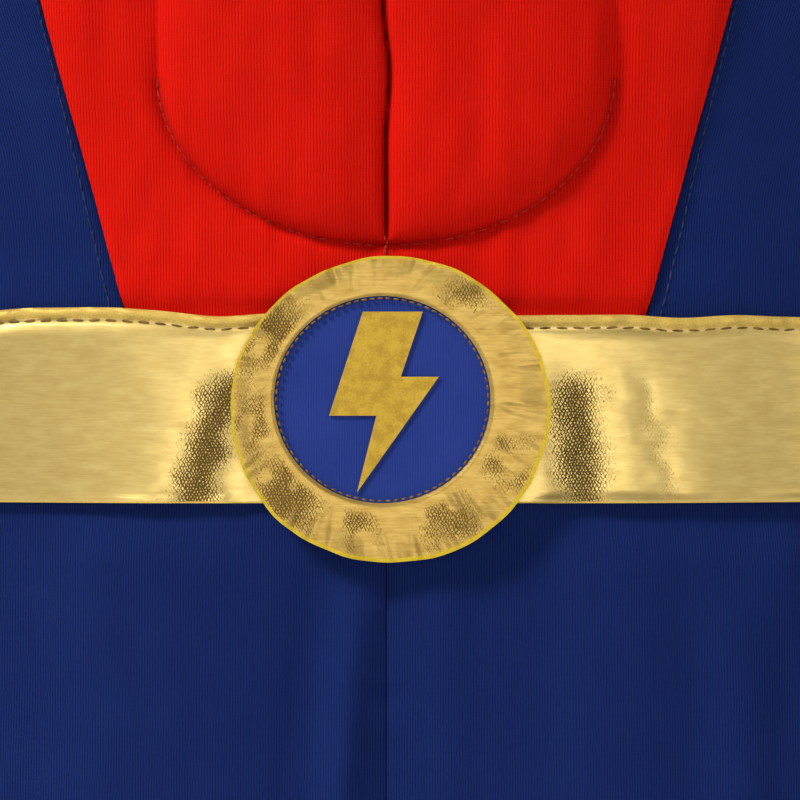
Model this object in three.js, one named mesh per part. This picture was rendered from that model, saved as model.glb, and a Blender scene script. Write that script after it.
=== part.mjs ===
// Child's superhero cape with its costume front: a pull-on sleeveless top with a padded red muscle front,
// navy side, back and hip panels, a gold foil belt with a round lightning badge, and a lined cape that
// hangs behind it from two shoulder tabs closed with hook-and-loop pads.
// Millimetres, +Z up. The wearer faces -Y, and the wearer's left is +X. The origin is the middle of the
// neck opening, level with the inner ends of the shoulder seams, where a neck or a hanger holds the top up.
import * as THREE from "three";

// ---- Driving dimensions ----
const edgeGap = 0.5; // between two panels sewn edge to edge
const layerGap = 0.3; // between two layers of cloth

const neck = { halfWidth: 62, frontDrop: 66, backDrop: 50 };
const shoulder = { tipX: 112, drop: 24, arch: 60 }; // arch: how far below its seam the top is full depth
const armhole = { frontX: 104, topZ: -100, underarmZ: -150 };
const belt = { topZ: -262, width: 44.5, lining: 0.8, foil: 0.6, stitchInset: 2.5 };
const body = {
  squareness: 2.6, // exponent of the superellipse across the body: 2 is an ellipse
  hem: { z: -480, halfWidth: 178, frontDepth: 66, backDepth: 58 },
  waist: { lowZ: -320, highZ: -250, halfWidth: 140, frontDepth: 50, backDepth: 45 }, // straight under the belt
  chest: { z: -140, halfWidth: 158, frontDepth: 62, backDepth: 45 },
};
const beltMidZ = belt.topZ - belt.width / 2;
const waistSeamZ = belt.topZ - belt.width / 4;

const backing = 0.8;
const redCloth = 1;
const navyCloth = 1.2;
const redPanelWaistX = 59;
const padding = {
  edge: 1.5, // thickness where it ends
  clearance: 0.6, // between it and the red cloth over it
  chest: { x: 46, z: -112, spreadX: 28, spreadZ: 26, height: 8 },
  stomach: { x: 24, z: -200, spreadX: 18, spreadZ: 40, height: 4 },
};
const quilting = { bottomZ: belt.topZ + 17, halfWidth: 54, height: 40 };
const thread = 0.7;
const binding = { diameter: 3, away: 1.9, middle: 1 }; // away: its axis past a rim, middle: its axis over it

const badge = {
  x: 1, ringWidth: 76.2, ringHeight: 73, ringThickness: 0.8,
  holeX: -0.9, holeZ: beltMidZ + 2.4, holeWidth: 51.2, holeHeight: 49,
  discMargin: 4, discThickness: 0.6, feltDiameter: 66, feltThickness: 1, boltThickness: 0.4,
};

// A plain two-stroke bolt, measured from the disc's centre: each stroke leans left as it falls.
const bolt = {
  top: { z: 20.8, left: -4.6, right: 9.6 },
  upperStep: { z: 5.4, notch: 4.4, right: 13.4 },
  lowerStep: { z: -3.8, notch: -1.4, left: -12.6 },
  foot: { z: -22, x: -6 },
};

const tab = {
  x: 87, width: 32, hingeY: -4, frontY: -34, rearY: 24, cloth: 1.2, hingeClearance: 1, rise: 6,
  padThickness: 1, padWidth: 24, padRearY: -14, padFrontY: -31,
  button: { share: 0.64, diameter: 14, height: 3 },
};

const cape = {
  topHalfWidth: 98, swagHalfWidth: 70, swagY: 57, swagZ: -54, length: 600, bottomHalfWidth: 255,
  seatGap: 1.2, behindTab: 1.2, hangY: 60, shoulderDrop: 18, lean: 0.06, folds: 5, foldDepth: 26,
  cloth: 0.8, binding: 1.8,
};

const label = { width: 26, height: 34, thickness: 0.4, drop: 8 };

// ---- Looks ----
const material = (color, roughness, metalness = 0) =>
  new THREE.MeshStandardMaterial({ color, roughness, metalness });
const looks = {
  red: material(0xd01809, 0.85),
  navy: material(0x182a5c, 0.85),
  gold: material(0xd8b562, 0.32, 0.9),
  mustard: material(0xc39a2c, 0.55, 0.4),
  blue: material(0x273b83, 0.45),
  goldThread: material(0xa88420, 0.7),
  redThread: material(0xb01408, 0.7),
  white: material(0xe8e6e0, 0.9),
  felt: material(0x2a2a2c, 0.95),
  hookTape: material(0x1c1c20, 0.9),
};

// ---- Body surface ----
const { lerp, clamp, smoothstep } = THREE.MathUtils;

// A size of the body at a height: it eases between the hem, the waist and the chest, and holds above it.
const levels = [
  body.hem, { ...body.waist, z: body.waist.lowZ }, { ...body.waist, z: body.waist.highZ }, body.chest,
];
function bodySize(size, z) {
  const next = levels.findIndex((level) => level.z >= z);
  if (next === 0) return body.hem[size];
  if (next < 0) return body.chest[size];
  const [below, above] = [levels[next - 1], levels[next]];
  return lerp(below[size], above[size], smoothstep(z, below.z, above.z));
}

// Height of the shoulder seam, level across the neck and sloping to the shoulder's tip.
function shoulderZ(x) {
  const beyond = Math.max(0, Math.abs(x) - neck.halfWidth);
  return (-shoulder.drop * beyond) / (shoulder.tipX - neck.halfWidth);
}

// Share of the body's full depth at a point: 0 on the shoulder seam, 1 below the shoulder's arch.
function archShare(x, z) {
  const below = clamp((shoulderZ(x) - z) / shoulder.arch, 0, 1);
  return Math.sqrt(1 - (1 - below) ** 2);
}

// Point at an angle round the body: 0 is the centre front, PI / 2 the wearer's left side, PI the centre back.
function bodyPoint(angle, z) {
  const [s, c] = [Math.sin(angle), Math.cos(angle)];
  const power = 2 / body.squareness;
  const x = Math.sign(s) * bodySize("halfWidth", z) * Math.abs(s) ** power;
  const depth = c > 0 ? -bodySize("frontDepth", z) : bodySize("backDepth", z);
  return new THREE.Vector3(x, depth * archShare(x, z) * Math.abs(c) ** power, z);
}

// Angle of the front surface at a distance x from the middle. The back's is PI minus it.
function frontAngle(x, z) {
  const share = clamp(Math.abs(x) / bodySize("halfWidth", z), 0, 1);
  return Math.sign(x) * Math.asin(share ** (body.squareness / 2));
}

// ---- Solids ----
const fromBody = (p) => new THREE.Vector3(p.x * 0.3, p.y, p.z > -40 ? 60 : 0); // outwards, and up on top
const backwards = () => new THREE.Vector3(0, 1, 0);
const upwards = () => new THREE.Vector3(0, 0, 1);

// Reverses a closed geometry's triangles if they face inwards.
function facingOut(geometry) {
  const { position } = geometry.attributes;
  const corner = (i) => new THREE.Vector3().fromBufferAttribute(position, geometry.index.getX(i));
  let volume = 0;
  for (let i = 0; i < geometry.index.count; i += 3) {
    volume += corner(i).dot(corner(i + 1).cross(corner(i + 2)));
  }
  if (volume < 0) geometry.setIndex([...geometry.index.array].reverse());
  return geometry;
}

function solid(points, index) {
  const geometry = new THREE.BufferGeometry().setFromPoints(points);
  geometry.setIndex(index);
  return facingOut(geometry);
}

// Outward normal of the surface at(s, t).
function normalAt(at, facing, s, t) {
  const step = 0.02;
  const acrossS = at(Math.min(1, s + step), t).sub(at(Math.max(0, s - step), t));
  const acrossT = at(s, Math.min(1, t + step)).sub(at(s, Math.max(0, t - step)));
  const normal = acrossS.cross(acrossT).normalize();
  return normal.dot(facing(at(s, t))) < 0 ? normal.negate() : normal;
}

// A closed sheet of cloth: at(s, t) is its base surface for s and t from 0 to 1, and low and high are its
// two faces' distances from the base, as numbers or functions of s and t.
function sheet(at, facing, low, high, columns, rows) {
  const value = (f, s, t) => (typeof f === "function" ? f(s, t) : f);
  const faces = [[], []];
  for (let j = 0; j <= rows; j++) {
    for (let i = 0; i <= columns; i++) {
      const [s, t] = [i / columns, j / rows];
      const normal = normalAt(at, facing, s, t);
      [low, high].forEach((f, face) => faces[face].push(at(s, t).addScaledVector(normal, value(f, s, t))));
    }
  }
  const across = columns + 1;
  const count = across * (rows + 1);
  const index = [];
  const quad = (a, b, c, d) => index.push(a, b, c, a, c, d);
  for (let j = 0; j < rows; j++) {
    for (let i = 0; i < columns; i++) {
      const a = j * across + i;
      quad(a, a + across, a + across + 1, a + 1);
      quad(count + a, count + a + 1, count + a + across + 1, count + a + across);
    }
  }
  const rim = [];
  for (let i = 0; i < columns; i++) rim.push(i);
  for (let j = 0; j < rows; j++) rim.push(j * across + columns);
  for (let i = columns; i > 0; i--) rim.push(rows * across + i);
  for (let j = rows; j > 0; j--) rim.push(j * across);
  rim.forEach((a, i) => {
    const b = rim[(i + 1) % rim.length];
    quad(a, b, count + b, count + a);
  });
  return solid([...faces[0], ...faces[1]], index);
}

// A round cord through points, closed into a loop or capped at its ends. Its rings start from the reference
// direction, which the cord never runs along.
function cord(points, diameter, reference, closed, sides = 6) {
  const vertices = [];
  points.forEach((point, i) => {
    const before = points[closed ? (i + points.length - 1) % points.length : Math.max(0, i - 1)];
    const after = points[closed ? (i + 1) % points.length : Math.min(points.length - 1, i + 1)];
    const run = after.clone().sub(before).normalize();
    const first = reference.clone().addScaledVector(run, -reference.dot(run)).normalize();
    const second = run.clone().cross(first);
    for (let k = 0; k < sides; k++) {
      const angle = (2 * Math.PI * k) / sides;
      vertices.push(point.clone()
        .addScaledVector(first, (Math.cos(angle) * diameter) / 2)
        .addScaledVector(second, (Math.sin(angle) * diameter) / 2));
    }
  });
  const index = [];
  const rings = points.length;
  for (let i = 0; i < (closed ? rings : rings - 1); i++) {
    const [a, b] = [i * sides, ((i + 1) % rings) * sides];
    for (let k = 0; k < sides; k++) {
      const next = (k + 1) % sides;
      index.push(a + k, a + next, b + next, a + k, b + next, b + k);
    }
  }
  if (!closed) {
    const last = (rings - 1) * sides;
    for (let k = 1; k < sides - 1; k++) index.push(0, k + 1, k, last, last + k, last + k + 1);
  }
  return solid(vertices, index);
}

// A flat plate facing the front: outline is a shape in x and z, and backY is where its rear face lies.
function plate(outline, thickness, backY) {
  return new THREE.ExtrudeGeometry(outline, { depth: thickness, bevelEnabled: false, curveSegments: 20 })
    .rotateX(Math.PI / 2)
    .translate(0, backY, 0);
}

const ellipse = (x, z, width, height) =>
  new THREE.Shape().absellipse(x, z, width / 2, height / 2, 0, 2 * Math.PI);

const part = new THREE.Group();

function add(name, geometry, look) {
  const mesh = new THREE.Mesh(geometry, looks[look].clone());
  mesh.name = name;
  part.add(mesh);
}

const sides = [["left", 1], ["right", -1]];

// ---- Upper body: panels between the waist seam, the neckline, the shoulders and the armholes ----
const panel = { neckColumns: 6, shoulderColumns: 3, rows: 14 };
panel.columns = panel.neckColumns + panel.shoulderColumns;

// Outer edge of the front and back panels: it leans out from the waist to the armhole.
function panelEdgeX(z) {
  const up = (from, to) => clamp((z - from) / (to - from), 0, 1);
  if (z > armhole.topZ) return lerp(armhole.frontX, shoulder.tipX, up(armhole.topZ, -shoulder.drop));
  return lerp(redPanelWaistX, armhole.frontX, up(waistSeamZ, armhole.topZ));
}

// Share of a panel's width at s, its columns closing up towards the side of the neck.
function widthShare(s) {
  const column = s * panel.columns;
  const neckShare = neck.halfWidth / shoulder.tipX;
  if (column < panel.neckColumns) return neckShare * Math.sin(((column / panel.neckColumns) * Math.PI) / 2);
  return lerp(neckShare, 1, (column - panel.neckColumns) / panel.shoulderColumns);
}

// Point of the front or of a back panel, s from the middle out and t from the waist seam up. The front is
// one piece from the right armhole to the left, and the back has a seam down its middle.
function panelPoint(side, front, s, t) {
  const share = widthShare(s);
  const topX = share * shoulder.tipX;
  const drop = front ? neck.frontDrop : neck.backDrop;
  const topZ = topX < neck.halfWidth ? -drop * Math.sqrt(1 - (topX / neck.halfWidth) ** 2) : shoulderZ(topX);
  const z = lerp(waistSeamZ, topZ, Math.sin((t * Math.PI) / 2));
  const halfGap = layerGap / 2;
  const x = side * lerp(front ? 0 : halfGap, panelEdgeX(z), share);
  const point = bodyPoint(front ? frontAngle(x, z) : side * Math.PI - frontAngle(x, z), z);
  point.y = front ? Math.min(point.y, -halfGap) : Math.max(point.y, halfGap);
  return point;
}
const frontPoint = (across, t) => panelPoint(across < 0 ? -1 : 1, true, Math.abs(across), t); // across: -1 to 1

// Thickness of the muscle padding: a chest and a stomach swelling over an even edge thickness.
function paddingThickness({ x, z }) {
  const swelling = (muscle) => {
    const [across, up] = [(Math.abs(x) - muscle.x) / muscle.spreadX, (z - muscle.z) / muscle.spreadZ];
    return muscle.height * Math.exp(-(across ** 2 + up ** 2) / 2);
  };
  return padding.edge + swelling(padding.chest) + swelling(padding.stomach);
}

// The padding fills the front panel's grid between these columns and rows.
const padded = { firstColumn: 1, lastColumn: panel.columns - 1, firstRow: 2, lastRow: 10 };
const redBase = backing + layerGap;
const clothFace = redBase + redCloth; // distance of every outer face from the body, away from the padding
const navyBase = clothFace - navyCloth;

// Distance of the red cloth from the body, over the padding inside it.
function redLow(across, t) {
  const [column, row] = [Math.abs(across) * panel.columns, t * panel.rows];
  const inside = column > padded.firstColumn - 0.5 && column < padded.lastColumn + 0.5
    && row > padded.firstRow - 0.5 && row < padded.lastRow + 0.5;
  return redBase + (inside ? paddingThickness(frontPoint(across, t)) + padding.clearance : 0);
}

function addFront() {
  const at = (s, t) => frontPoint(2 * s - 1, t);
  const low = (s, t) => redLow(2 * s - 1, t);
  const high = (s, t) => low(s, t) + redCloth;
  add("red_front", sheet(at, fromBody, low, high, 2 * panel.columns, panel.rows), "red");
  add("front_backing", sheet(at, fromBody, 0, backing, 2 * panel.columns, panel.rows), "white");
}
addFront();

for (const [name, side] of sides) {
  const ends = [padded.firstColumn, padded.lastColumn].map((column) => (side * column) / panel.columns);
  const [low, high] = ends.toSorted((p, q) => p - q);
  const pad = (s, t) => frontPoint(lerp(low, high, s), lerp(padded.firstRow, padded.lastRow, t) / panel.rows);
  const padHigh = (s, t) => redBase + paddingThickness(pad(s, t));
  const [columns, rows] = [padded.lastColumn - padded.firstColumn, padded.lastRow - padded.firstRow];
  add(`muscle_padding_${name}`, sheet(pad, fromBody, redBase, padHigh, columns, rows), "white");

  const back = (s, t) => panelPoint(side, false, s, t);
  add(`back_panel_${name}`, sheet(back, fromBody, navyBase, clothFace, panel.columns, panel.rows), "navy");
}

// Point of a side panel, from the red front's edge round to the back panel's, dipping to the underarm.
const sideStations = 7; // columns from a panel's edge to the side of the body, or from there to the back
function flankPoint(side, s, t) {
  const dip = Math.sqrt(1 - (2 * s - 1) ** 2) * (armhole.underarmZ - armhole.topZ);
  const z = lerp(waistSeamZ, armhole.topZ + dip, t);
  const edge = frontAngle(side * (panelEdgeX(z) + edgeGap), z);
  return bodyPoint(lerp(edge, side * Math.PI - edge, s), z);
}
for (const [name, side] of sides) {
  const flank = (s, t) => flankPoint(side, s, t);
  add(`side_panel_${name}`, sheet(flank, fromBody, navyBase, clothFace, 2 * sideStations, 8), "navy");
}

// ---- Hip panels, from the waist seam to the hem ----
// Angle at a share of the way from the centre front to the side, its columns in line with the panels above.
const frontStations = 2;
function quarterAngle(share) {
  const edge = frontAngle(redPanelWaistX + edgeGap, waistSeamZ);
  const station = share * (frontStations + sideStations);
  if (station < frontStations) return (edge * station) / frontStations;
  return lerp(edge, Math.PI / 2, (station - frontStations) / sideStations);
}

const sideGap = 0.002; // radians kept clear on each side of a side seam
for (const [name, side] of sides) {
  for (const where of ["front", "back"]) {
    const hip = (s, t) => {
      const z = lerp(body.hem.z, waistSeamZ - edgeGap, t);
      const angle = clamp(quarterAngle(s), frontAngle(layerGap / 2, z), Math.PI / 2 - sideGap);
      return bodyPoint(side * (where === "front" ? angle : Math.PI - angle), z);
    };
    const columns = frontStations + sideStations;
    add(`hip_${where}_${name}`, sheet(hip, fromBody, navyBase, clothFace, columns, 6), "navy");
  }
}

// ---- Belt: a foil band over a lining, in a front and a back half joined at the sides ----
const liningFace = clothFace + layerGap + belt.lining;
const foilFace = liningFace + layerGap + belt.foil;
const beltColumns = 2 * (frontStations + sideStations);

for (const where of ["front", "back"]) {
  const beltPoint = (s, z) => {
    const turn = 2 * s - 1;
    const angle = Math.sign(turn) * Math.min(quarterAngle(Math.abs(turn)), Math.PI / 2 - 2 * sideGap);
    return bodyPoint(where === "front" ? angle : Math.PI - angle, z);
  };
  const band = (s, t) => beltPoint(s, lerp(belt.topZ - belt.width, belt.topZ, t));
  const lining = sheet(band, fromBody, clothFace + layerGap, liningFace, beltColumns, 1);
  add(`belt_${where}_lining`, lining, "mustard");
  add(`belt_${where}`, sheet(band, fromBody, liningFace + layerGap, foilFace, beltColumns, 1), "gold");

  // Line of topstitching under the belt's upper edge.
  const line = (s, t) => beltPoint(s, belt.topZ - belt.stitchInset - thread * t);
  const low = foilFace + layerGap;
  add(`belt_${where}_stitching`, sheet(line, fromBody, low, low + thread, beltColumns, 1), "goldThread");
}

// ---- Badge: felt, blue disc, bolt and foil ring, flat on the front of the belt ----
const feltBack = -(bodySize("frontDepth", beltMidZ) + foilFace + thread + 2 * layerGap);
const feltFront = feltBack - badge.feltThickness;
const discFront = feltFront - layerGap - badge.discThickness;

const feltShape = ellipse(badge.x, beltMidZ, badge.feltDiameter, badge.feltDiameter);
add("badge_felt", plate(feltShape, badge.feltThickness, feltBack), "felt");

// The hole's ellipse, grown by a margin all round.
const roundHole = (margin) =>
  ellipse(badge.holeX, badge.holeZ, badge.holeWidth + 2 * margin, badge.holeHeight + 2 * margin);
add("badge_disc", plate(roundHole(badge.discMargin), badge.discThickness, feltFront - layerGap), "blue");

const ringShape = ellipse(badge.x, beltMidZ, badge.ringWidth, badge.ringHeight);
ringShape.holes.push(roundHole(0));
add("badge_ring", plate(ringShape, badge.ringThickness, discFront - layerGap), "gold");

// Stitching laid against the ring's inner edge, no prouder than the ring.
const stitchShape = roundHole(-layerGap);
stitchShape.holes.push(roundHole(-layerGap - thread));
add("badge_stitching", plate(stitchShape, badge.ringThickness, discFront - layerGap), "goldThread");

function boltShape() {
  const { top, upperStep, lowerStep, foot } = bolt;
  const corners = [
    [top.left, top.z], [top.right, top.z], [upperStep.notch, upperStep.z], [upperStep.right, upperStep.z],
    [foot.x, foot.z], [lowerStep.notch, lowerStep.z], [lowerStep.left, lowerStep.z],
  ];
  return new THREE.Shape(corners.map(([x, z]) => new THREE.Vector2(x + badge.holeX, z + badge.holeZ)));
}
add("badge_bolt", plate(boltShape(), badge.boltThickness, discFront - layerGap), "mustard");

// ---- Quilting thread round the foot of the stomach muscles, a U that rises on each side ----
for (const [name, side] of sides) {
  const red = part.getObjectByName("red_front");
  const steps = 20;
  const run = Array.from({ length: steps + 1 }, (_, i) => {
    const angle = lerp(0.04, Math.PI / 2, i / steps);
    const x = side * quilting.halfWidth * Math.sin(angle);
    const z = quilting.bottomZ + quilting.height * (1 - Math.cos(angle));
    const ray = new THREE.Raycaster(new THREE.Vector3(x, 2 * foilFace - 500, z), new THREE.Vector3(0, 1, 0));
    const [hit] = ray.intersectObject(red);
    return hit.point.addScaledVector(hit.face.normal, thread / 2 + layerGap);
  });
  add(`quilting_thread_${name}`, cord(run, thread, backwards(), false), "redThread");
}

// ---- Bindings round the neck and the armholes ----
// The binding's axis beside a panel's edge point at(s, t): square to the line between the edge's corners
// before and after it, half of stepS and stepT away, and on the side away from the middle of the panel.
function besideEdge(at, [s, t], [stepS, stepT]) {
  const edge = at(s, t);
  const normal = normalAt(at, fromBody, s, t);
  const corner = (way) => at(clamp(s + way * stepS, 0, 1), clamp(t + way * stepT, 0, 1));
  const out = corner(1).sub(corner(-1)).cross(normal).normalize();
  if (out.dot(edge.clone().sub(at(0.5, 0.5))) < 0) out.negate();
  return edge.addScaledVector(out, binding.away).addScaledVector(normal, binding.middle);
}

function addNeckBinding() {
  const ridge = (side) => new THREE.Vector3(side * (neck.halfWidth - binding.away), 0, binding.middle);
  const quarter = (side, front) => Array.from({ length: panel.neckColumns }, (_, column) => {
    const s = column / panel.columns;
    return besideEdge((u, v) => panelPoint(side, front, u, v), [s, 1], [1 / panel.columns, 0]);
  });
  const loop = [
    ...quarter(1, true).slice(1), ridge(1), ...quarter(1, false).reverse(),
    ...quarter(-1, false).slice(1), ridge(-1), ...quarter(-1, true).reverse(),
  ];
  add("neck_binding", cord(loop, binding.diameter, upwards(), true), "navy");
}
addNeckBinding();

function addArmholeBinding(name, side) {
  const edgeRun = (front) => {
    const at = (u, v) => panelPoint(side, front, u, v);
    const run = [];
    for (let row = 0; row < panel.rows; row++) {
      if (at(1, row / panel.rows).z > armhole.topZ + binding.diameter) {
        run.push(besideEdge(at, [1, row / panel.rows], [0, 1 / panel.rows]));
      }
    }
    return run;
  };
  const tip = new THREE.Vector3(side * (shoulder.tipX + binding.away), 0, binding.middle - shoulder.drop);
  const under = [];
  for (let column = 1; column < 2 * sideStations; column++) {
    const s = column / (2 * sideStations);
    under.push(besideEdge((u, v) => flankPoint(side, u, v), [s, 1], [0.5 / sideStations, 0]));
  }
  const loop = [...edgeRun(true), tip, ...edgeRun(false).reverse(), ...under.reverse()];
  add(`armhole_binding_${name}`, cord(loop, binding.diameter, new THREE.Vector3(1, 0, 0), true), "navy");
}
sides.forEach(([name, side]) => addArmholeBinding(name, side));

// ---- Shoulder tabs and their pads ----
// Point on top of the shoulder at x and y, on the body's surface.
function shoulderTop(x, y) {
  const across = (1 - (Math.abs(x) / body.chest.halfWidth) ** body.squareness) ** (1 / body.squareness);
  const depth = (y < 0 ? body.chest.frontDepth : body.chest.backDepth) * across;
  const drop = shoulder.arch * (1 - Math.sqrt(1 - clamp(Math.abs(y) / depth, 0, 1) ** 2));
  return new THREE.Vector3(x, y, shoulderZ(x) - drop);
}

const tabFace = clothFace + layerGap;
const loopTop = tabFace + tab.padThickness;
const hookTop = loopTop + layerGap + tab.padThickness;

for (const [name, side] of sides) {
  const patch = (width, rearY, frontY) => (s, t) =>
    shoulderTop(side * (tab.x + width * (s - 0.5)), lerp(rearY, frontY, t));
  const pad = patch(tab.padWidth, tab.padRearY, tab.padFrontY);
  add(`loop_pad_${name}`, sheet(pad, upwards, tabFace, loopTop, 3, 4), "hookTape");
  add(`hook_pad_${name}`, sheet(pad, upwards, loopTop + layerGap, hookTop, 3, 4), "hookTape");

  const rear = patch(tab.width, tab.rearY, tab.hingeY + tab.hingeClearance);
  add(`tab_base_${name}`, sheet(rear, upwards, tabFace, tabFace + tab.cloth, 3, 6), "red");

  // The tab lies on the shoulder at its hinge and rises over the pads in front of it.
  const front = patch(tab.width, tab.hingeY, tab.frontY);
  const low = (s, t) => {
    const run = t * (tab.hingeY - tab.frontY);
    return lerp(tabFace, hookTop + layerGap, smoothstep(run, 2, 2 + tab.rise));
  };
  add(`shoulder_tab_${name}`, sheet(front, upwards, low, (s, t) => low(s, t) + tab.cloth, 3, 10), "red");

  // Domed button sewn on the tab, over the pads.
  const { share, diameter, height } = tab.button;
  const profile = [[0, 0], [0.9, 0], [1, 0.35], [0.7, 0.85], [0, 1]];
  const button = new THREE.LatheGeometry(
    profile.map(([r, y]) => new THREE.Vector2((r * diameter) / 2, y * height)), 20);
  const normal = normalAt(front, upwards, 0.5, share);
  const seat = front(0.5, share).addScaledVector(normal, low(0.5, share) + tab.cloth + layerGap);
  button.applyQuaternion(new THREE.Quaternion().setFromUnitVectors(new THREE.Vector3(0, 1, 0), normal));
  add(`tab_button_${name}`, button.translate(seat.x, seat.y, seat.z), "gold");
}

// ---- Cape: an outer cloth and a lining, sewn to the tabs' rear ends and falling in folds ----
// Top edge: on the tabs past the swag's ends, and hanging behind the neck between them.
function capeTop(across) {
  const x = across * cape.topHalfWidth;
  const seatX = Math.max(Math.abs(x), cape.swagHalfWidth);
  const rear = (u, v) => shoulderTop(seatX + u, tab.rearY + cape.behindTab - v);
  const normal = normalAt(rear, upwards, 0, 0);
  const onTab = rear(0, 0).addScaledVector(normal, tabFace + tab.cloth + cape.seatGap);
  const out = clamp(Math.abs(x) / cape.swagHalfWidth, 0, 1);
  return new THREE.Vector3(x, lerp(cape.swagY, onTab.y, out ** 4), lerp(cape.swagZ, onTab.z, out ** 2));
}

// Point of the cape, its rows closing up towards the top, where it bends most.
function capePoint(s, t) {
  const across = 2 * s - 1;
  const fall = t ** 1.7;
  const top = capeTop(across);
  const z = lerp(top.z, cape.swagZ - cape.length, fall);
  const below = top.z - z;
  const x = lerp(top.x, across * cape.bottomHalfWidth, lerp(fall, t, 0.5));
  const hang = lerp(top.y, cape.hangY, 1 - Math.exp(-below / cape.shoulderDrop)) + cape.lean * below;
  const fold = cape.foldDepth * Math.sqrt(fall) * (0.5 - 0.5 * Math.cos(2 * Math.PI * cape.folds * s));
  return new THREE.Vector3(x, hang + fold, z);
}

const capeColumns = 5 * cape.folds;
const outerFace = cape.cloth + layerGap;
add("cape_lining", sheet(capePoint, backwards, 0, cape.cloth, capeColumns, 8), "navy");
add("cape_outer", sheet(capePoint, backwards, outerFace, outerFace + cape.cloth, capeColumns, 8), "red");

function addCapeBinding() {
  const points = Array.from({ length: capeColumns + 1 }, (_, i) => {
    const s = i / capeColumns;
    const top = capePoint(s, 0);
    const up = top.clone().sub(capePoint(s, 0.02)).normalize();
    const normal = normalAt(capePoint, backwards, s, 0);
    return top.addScaledVector(up, cape.binding / 2 + layerGap).addScaledVector(normal, outerFace);
  });
  add("cape_top_binding", cord(points, cape.binding, backwards(), false), "red");
}
addCapeBinding();

// ---- Care label, blank, sewn flat inside the back of the neck ----
{
  const at = (s, t) => {
    const z = -neck.backDrop - label.drop - label.height * (1 - t);
    return bodyPoint(Math.PI - frontAngle(label.width * (s - 0.5), z), z);
  };
  const face = navyBase - layerGap;
  add("care_label", sheet(at, backwards, face - label.thickness, face, 4, 4), "white");
}

export default part;
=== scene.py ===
# A child's superhero cape on its padded costume front, worn upright and seen close at the belt.
# Sizes in the dictionaries are millimetres. The wearer faces -Y and the wearer's left is +X.
import math
import bpy
import bmesh
import numpy as np
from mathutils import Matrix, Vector


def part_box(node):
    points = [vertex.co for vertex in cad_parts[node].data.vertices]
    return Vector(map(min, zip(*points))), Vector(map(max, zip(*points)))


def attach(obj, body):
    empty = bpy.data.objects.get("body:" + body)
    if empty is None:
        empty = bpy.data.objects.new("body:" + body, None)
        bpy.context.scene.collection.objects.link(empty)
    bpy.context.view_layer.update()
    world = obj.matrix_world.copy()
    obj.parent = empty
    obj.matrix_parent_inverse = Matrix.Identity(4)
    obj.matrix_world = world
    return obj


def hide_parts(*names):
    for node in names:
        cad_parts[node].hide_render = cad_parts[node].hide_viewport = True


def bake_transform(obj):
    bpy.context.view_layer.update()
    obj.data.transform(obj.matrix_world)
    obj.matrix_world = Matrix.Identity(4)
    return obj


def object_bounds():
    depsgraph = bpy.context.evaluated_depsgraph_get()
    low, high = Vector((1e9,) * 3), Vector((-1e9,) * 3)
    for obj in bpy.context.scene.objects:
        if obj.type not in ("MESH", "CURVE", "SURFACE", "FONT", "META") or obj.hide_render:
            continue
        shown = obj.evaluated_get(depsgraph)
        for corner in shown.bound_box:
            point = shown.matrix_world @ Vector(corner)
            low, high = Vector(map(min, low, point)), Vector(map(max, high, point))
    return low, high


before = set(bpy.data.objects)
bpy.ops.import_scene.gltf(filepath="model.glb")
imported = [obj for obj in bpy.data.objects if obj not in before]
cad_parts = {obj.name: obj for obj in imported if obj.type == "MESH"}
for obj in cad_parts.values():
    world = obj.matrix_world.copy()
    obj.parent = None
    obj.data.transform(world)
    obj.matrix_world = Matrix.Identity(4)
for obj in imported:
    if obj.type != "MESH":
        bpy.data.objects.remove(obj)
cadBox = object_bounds()
mm = 0.001


def lowOf(nodeName):
    return np.array(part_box(nodeName)[0]) / mm


def highOf(nodeName):
    return np.array(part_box(nodeName)[1]) / mm


# Levels and sizes that several pieces share
fabric = {
    "layerGap": 0.3, "edgeGap": 0.5, "backing": 0.8, "redCloth": 0.6,
    "navyBase": 0.9, "navyCloth": 1.2, "face": 2.1,  # face: outer side of every panel, from the body
    "beltLining": (2.4, 3.2), "beltFoil": (3.5, 4.1),
}
beltTop = highOf("belt_front")[2]
beltBottom = lowOf("belt_front")[2]
beltMid = (beltTop + beltBottom) / 2
waistSeam = beltTop - (beltTop - beltBottom) / 4
hemLevel = lowOf("hip_front_left")[2]
bodyShape = {
    "squareness": 2.6,
    "levels": [  # height, half width, front depth, back depth
        (hemLevel, 178, 66, 58), (-320, 140, 50, 45), (-250, 140, 50, 45), (-140, 158, 62, 45),
    ],
    "arch": 60,
}
neck = {"halfWidth": 62, "frontDrop": 66, "backDrop": 50}
shoulder = {"tipX": 112, "drop": 24}
armhole = {"frontX": 104, "topZ": -100, "underarmZ": -150}
redWaistX = 59
quilting = {"bottomZ": beltTop + 17, "halfWidth": 54, "height": 40}
sides = (("left", 1), ("right", -1))
stations = {"across": 9, "toNeck": 6, "redFront": 2, "up": 14, "under": 14}  # steps along the panels' edges


# Small sums
def mix(a, b, share):
    return a + (b - a) * share


def smooth(value, low, high):
    share = np.clip((value - low) / (high - low), 0, 1)
    return share * share * (3 - 2 * share)


def pillow(distance, width):
    # rises from 0 at an edge to 1 at width inside it, steepest at the edge
    return np.sqrt(1 - (1 - np.clip(distance / width, 0, 1)) ** 2)


def bump(value, middle, spread):
    return np.exp(-((value - middle) / spread) ** 2)


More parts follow.
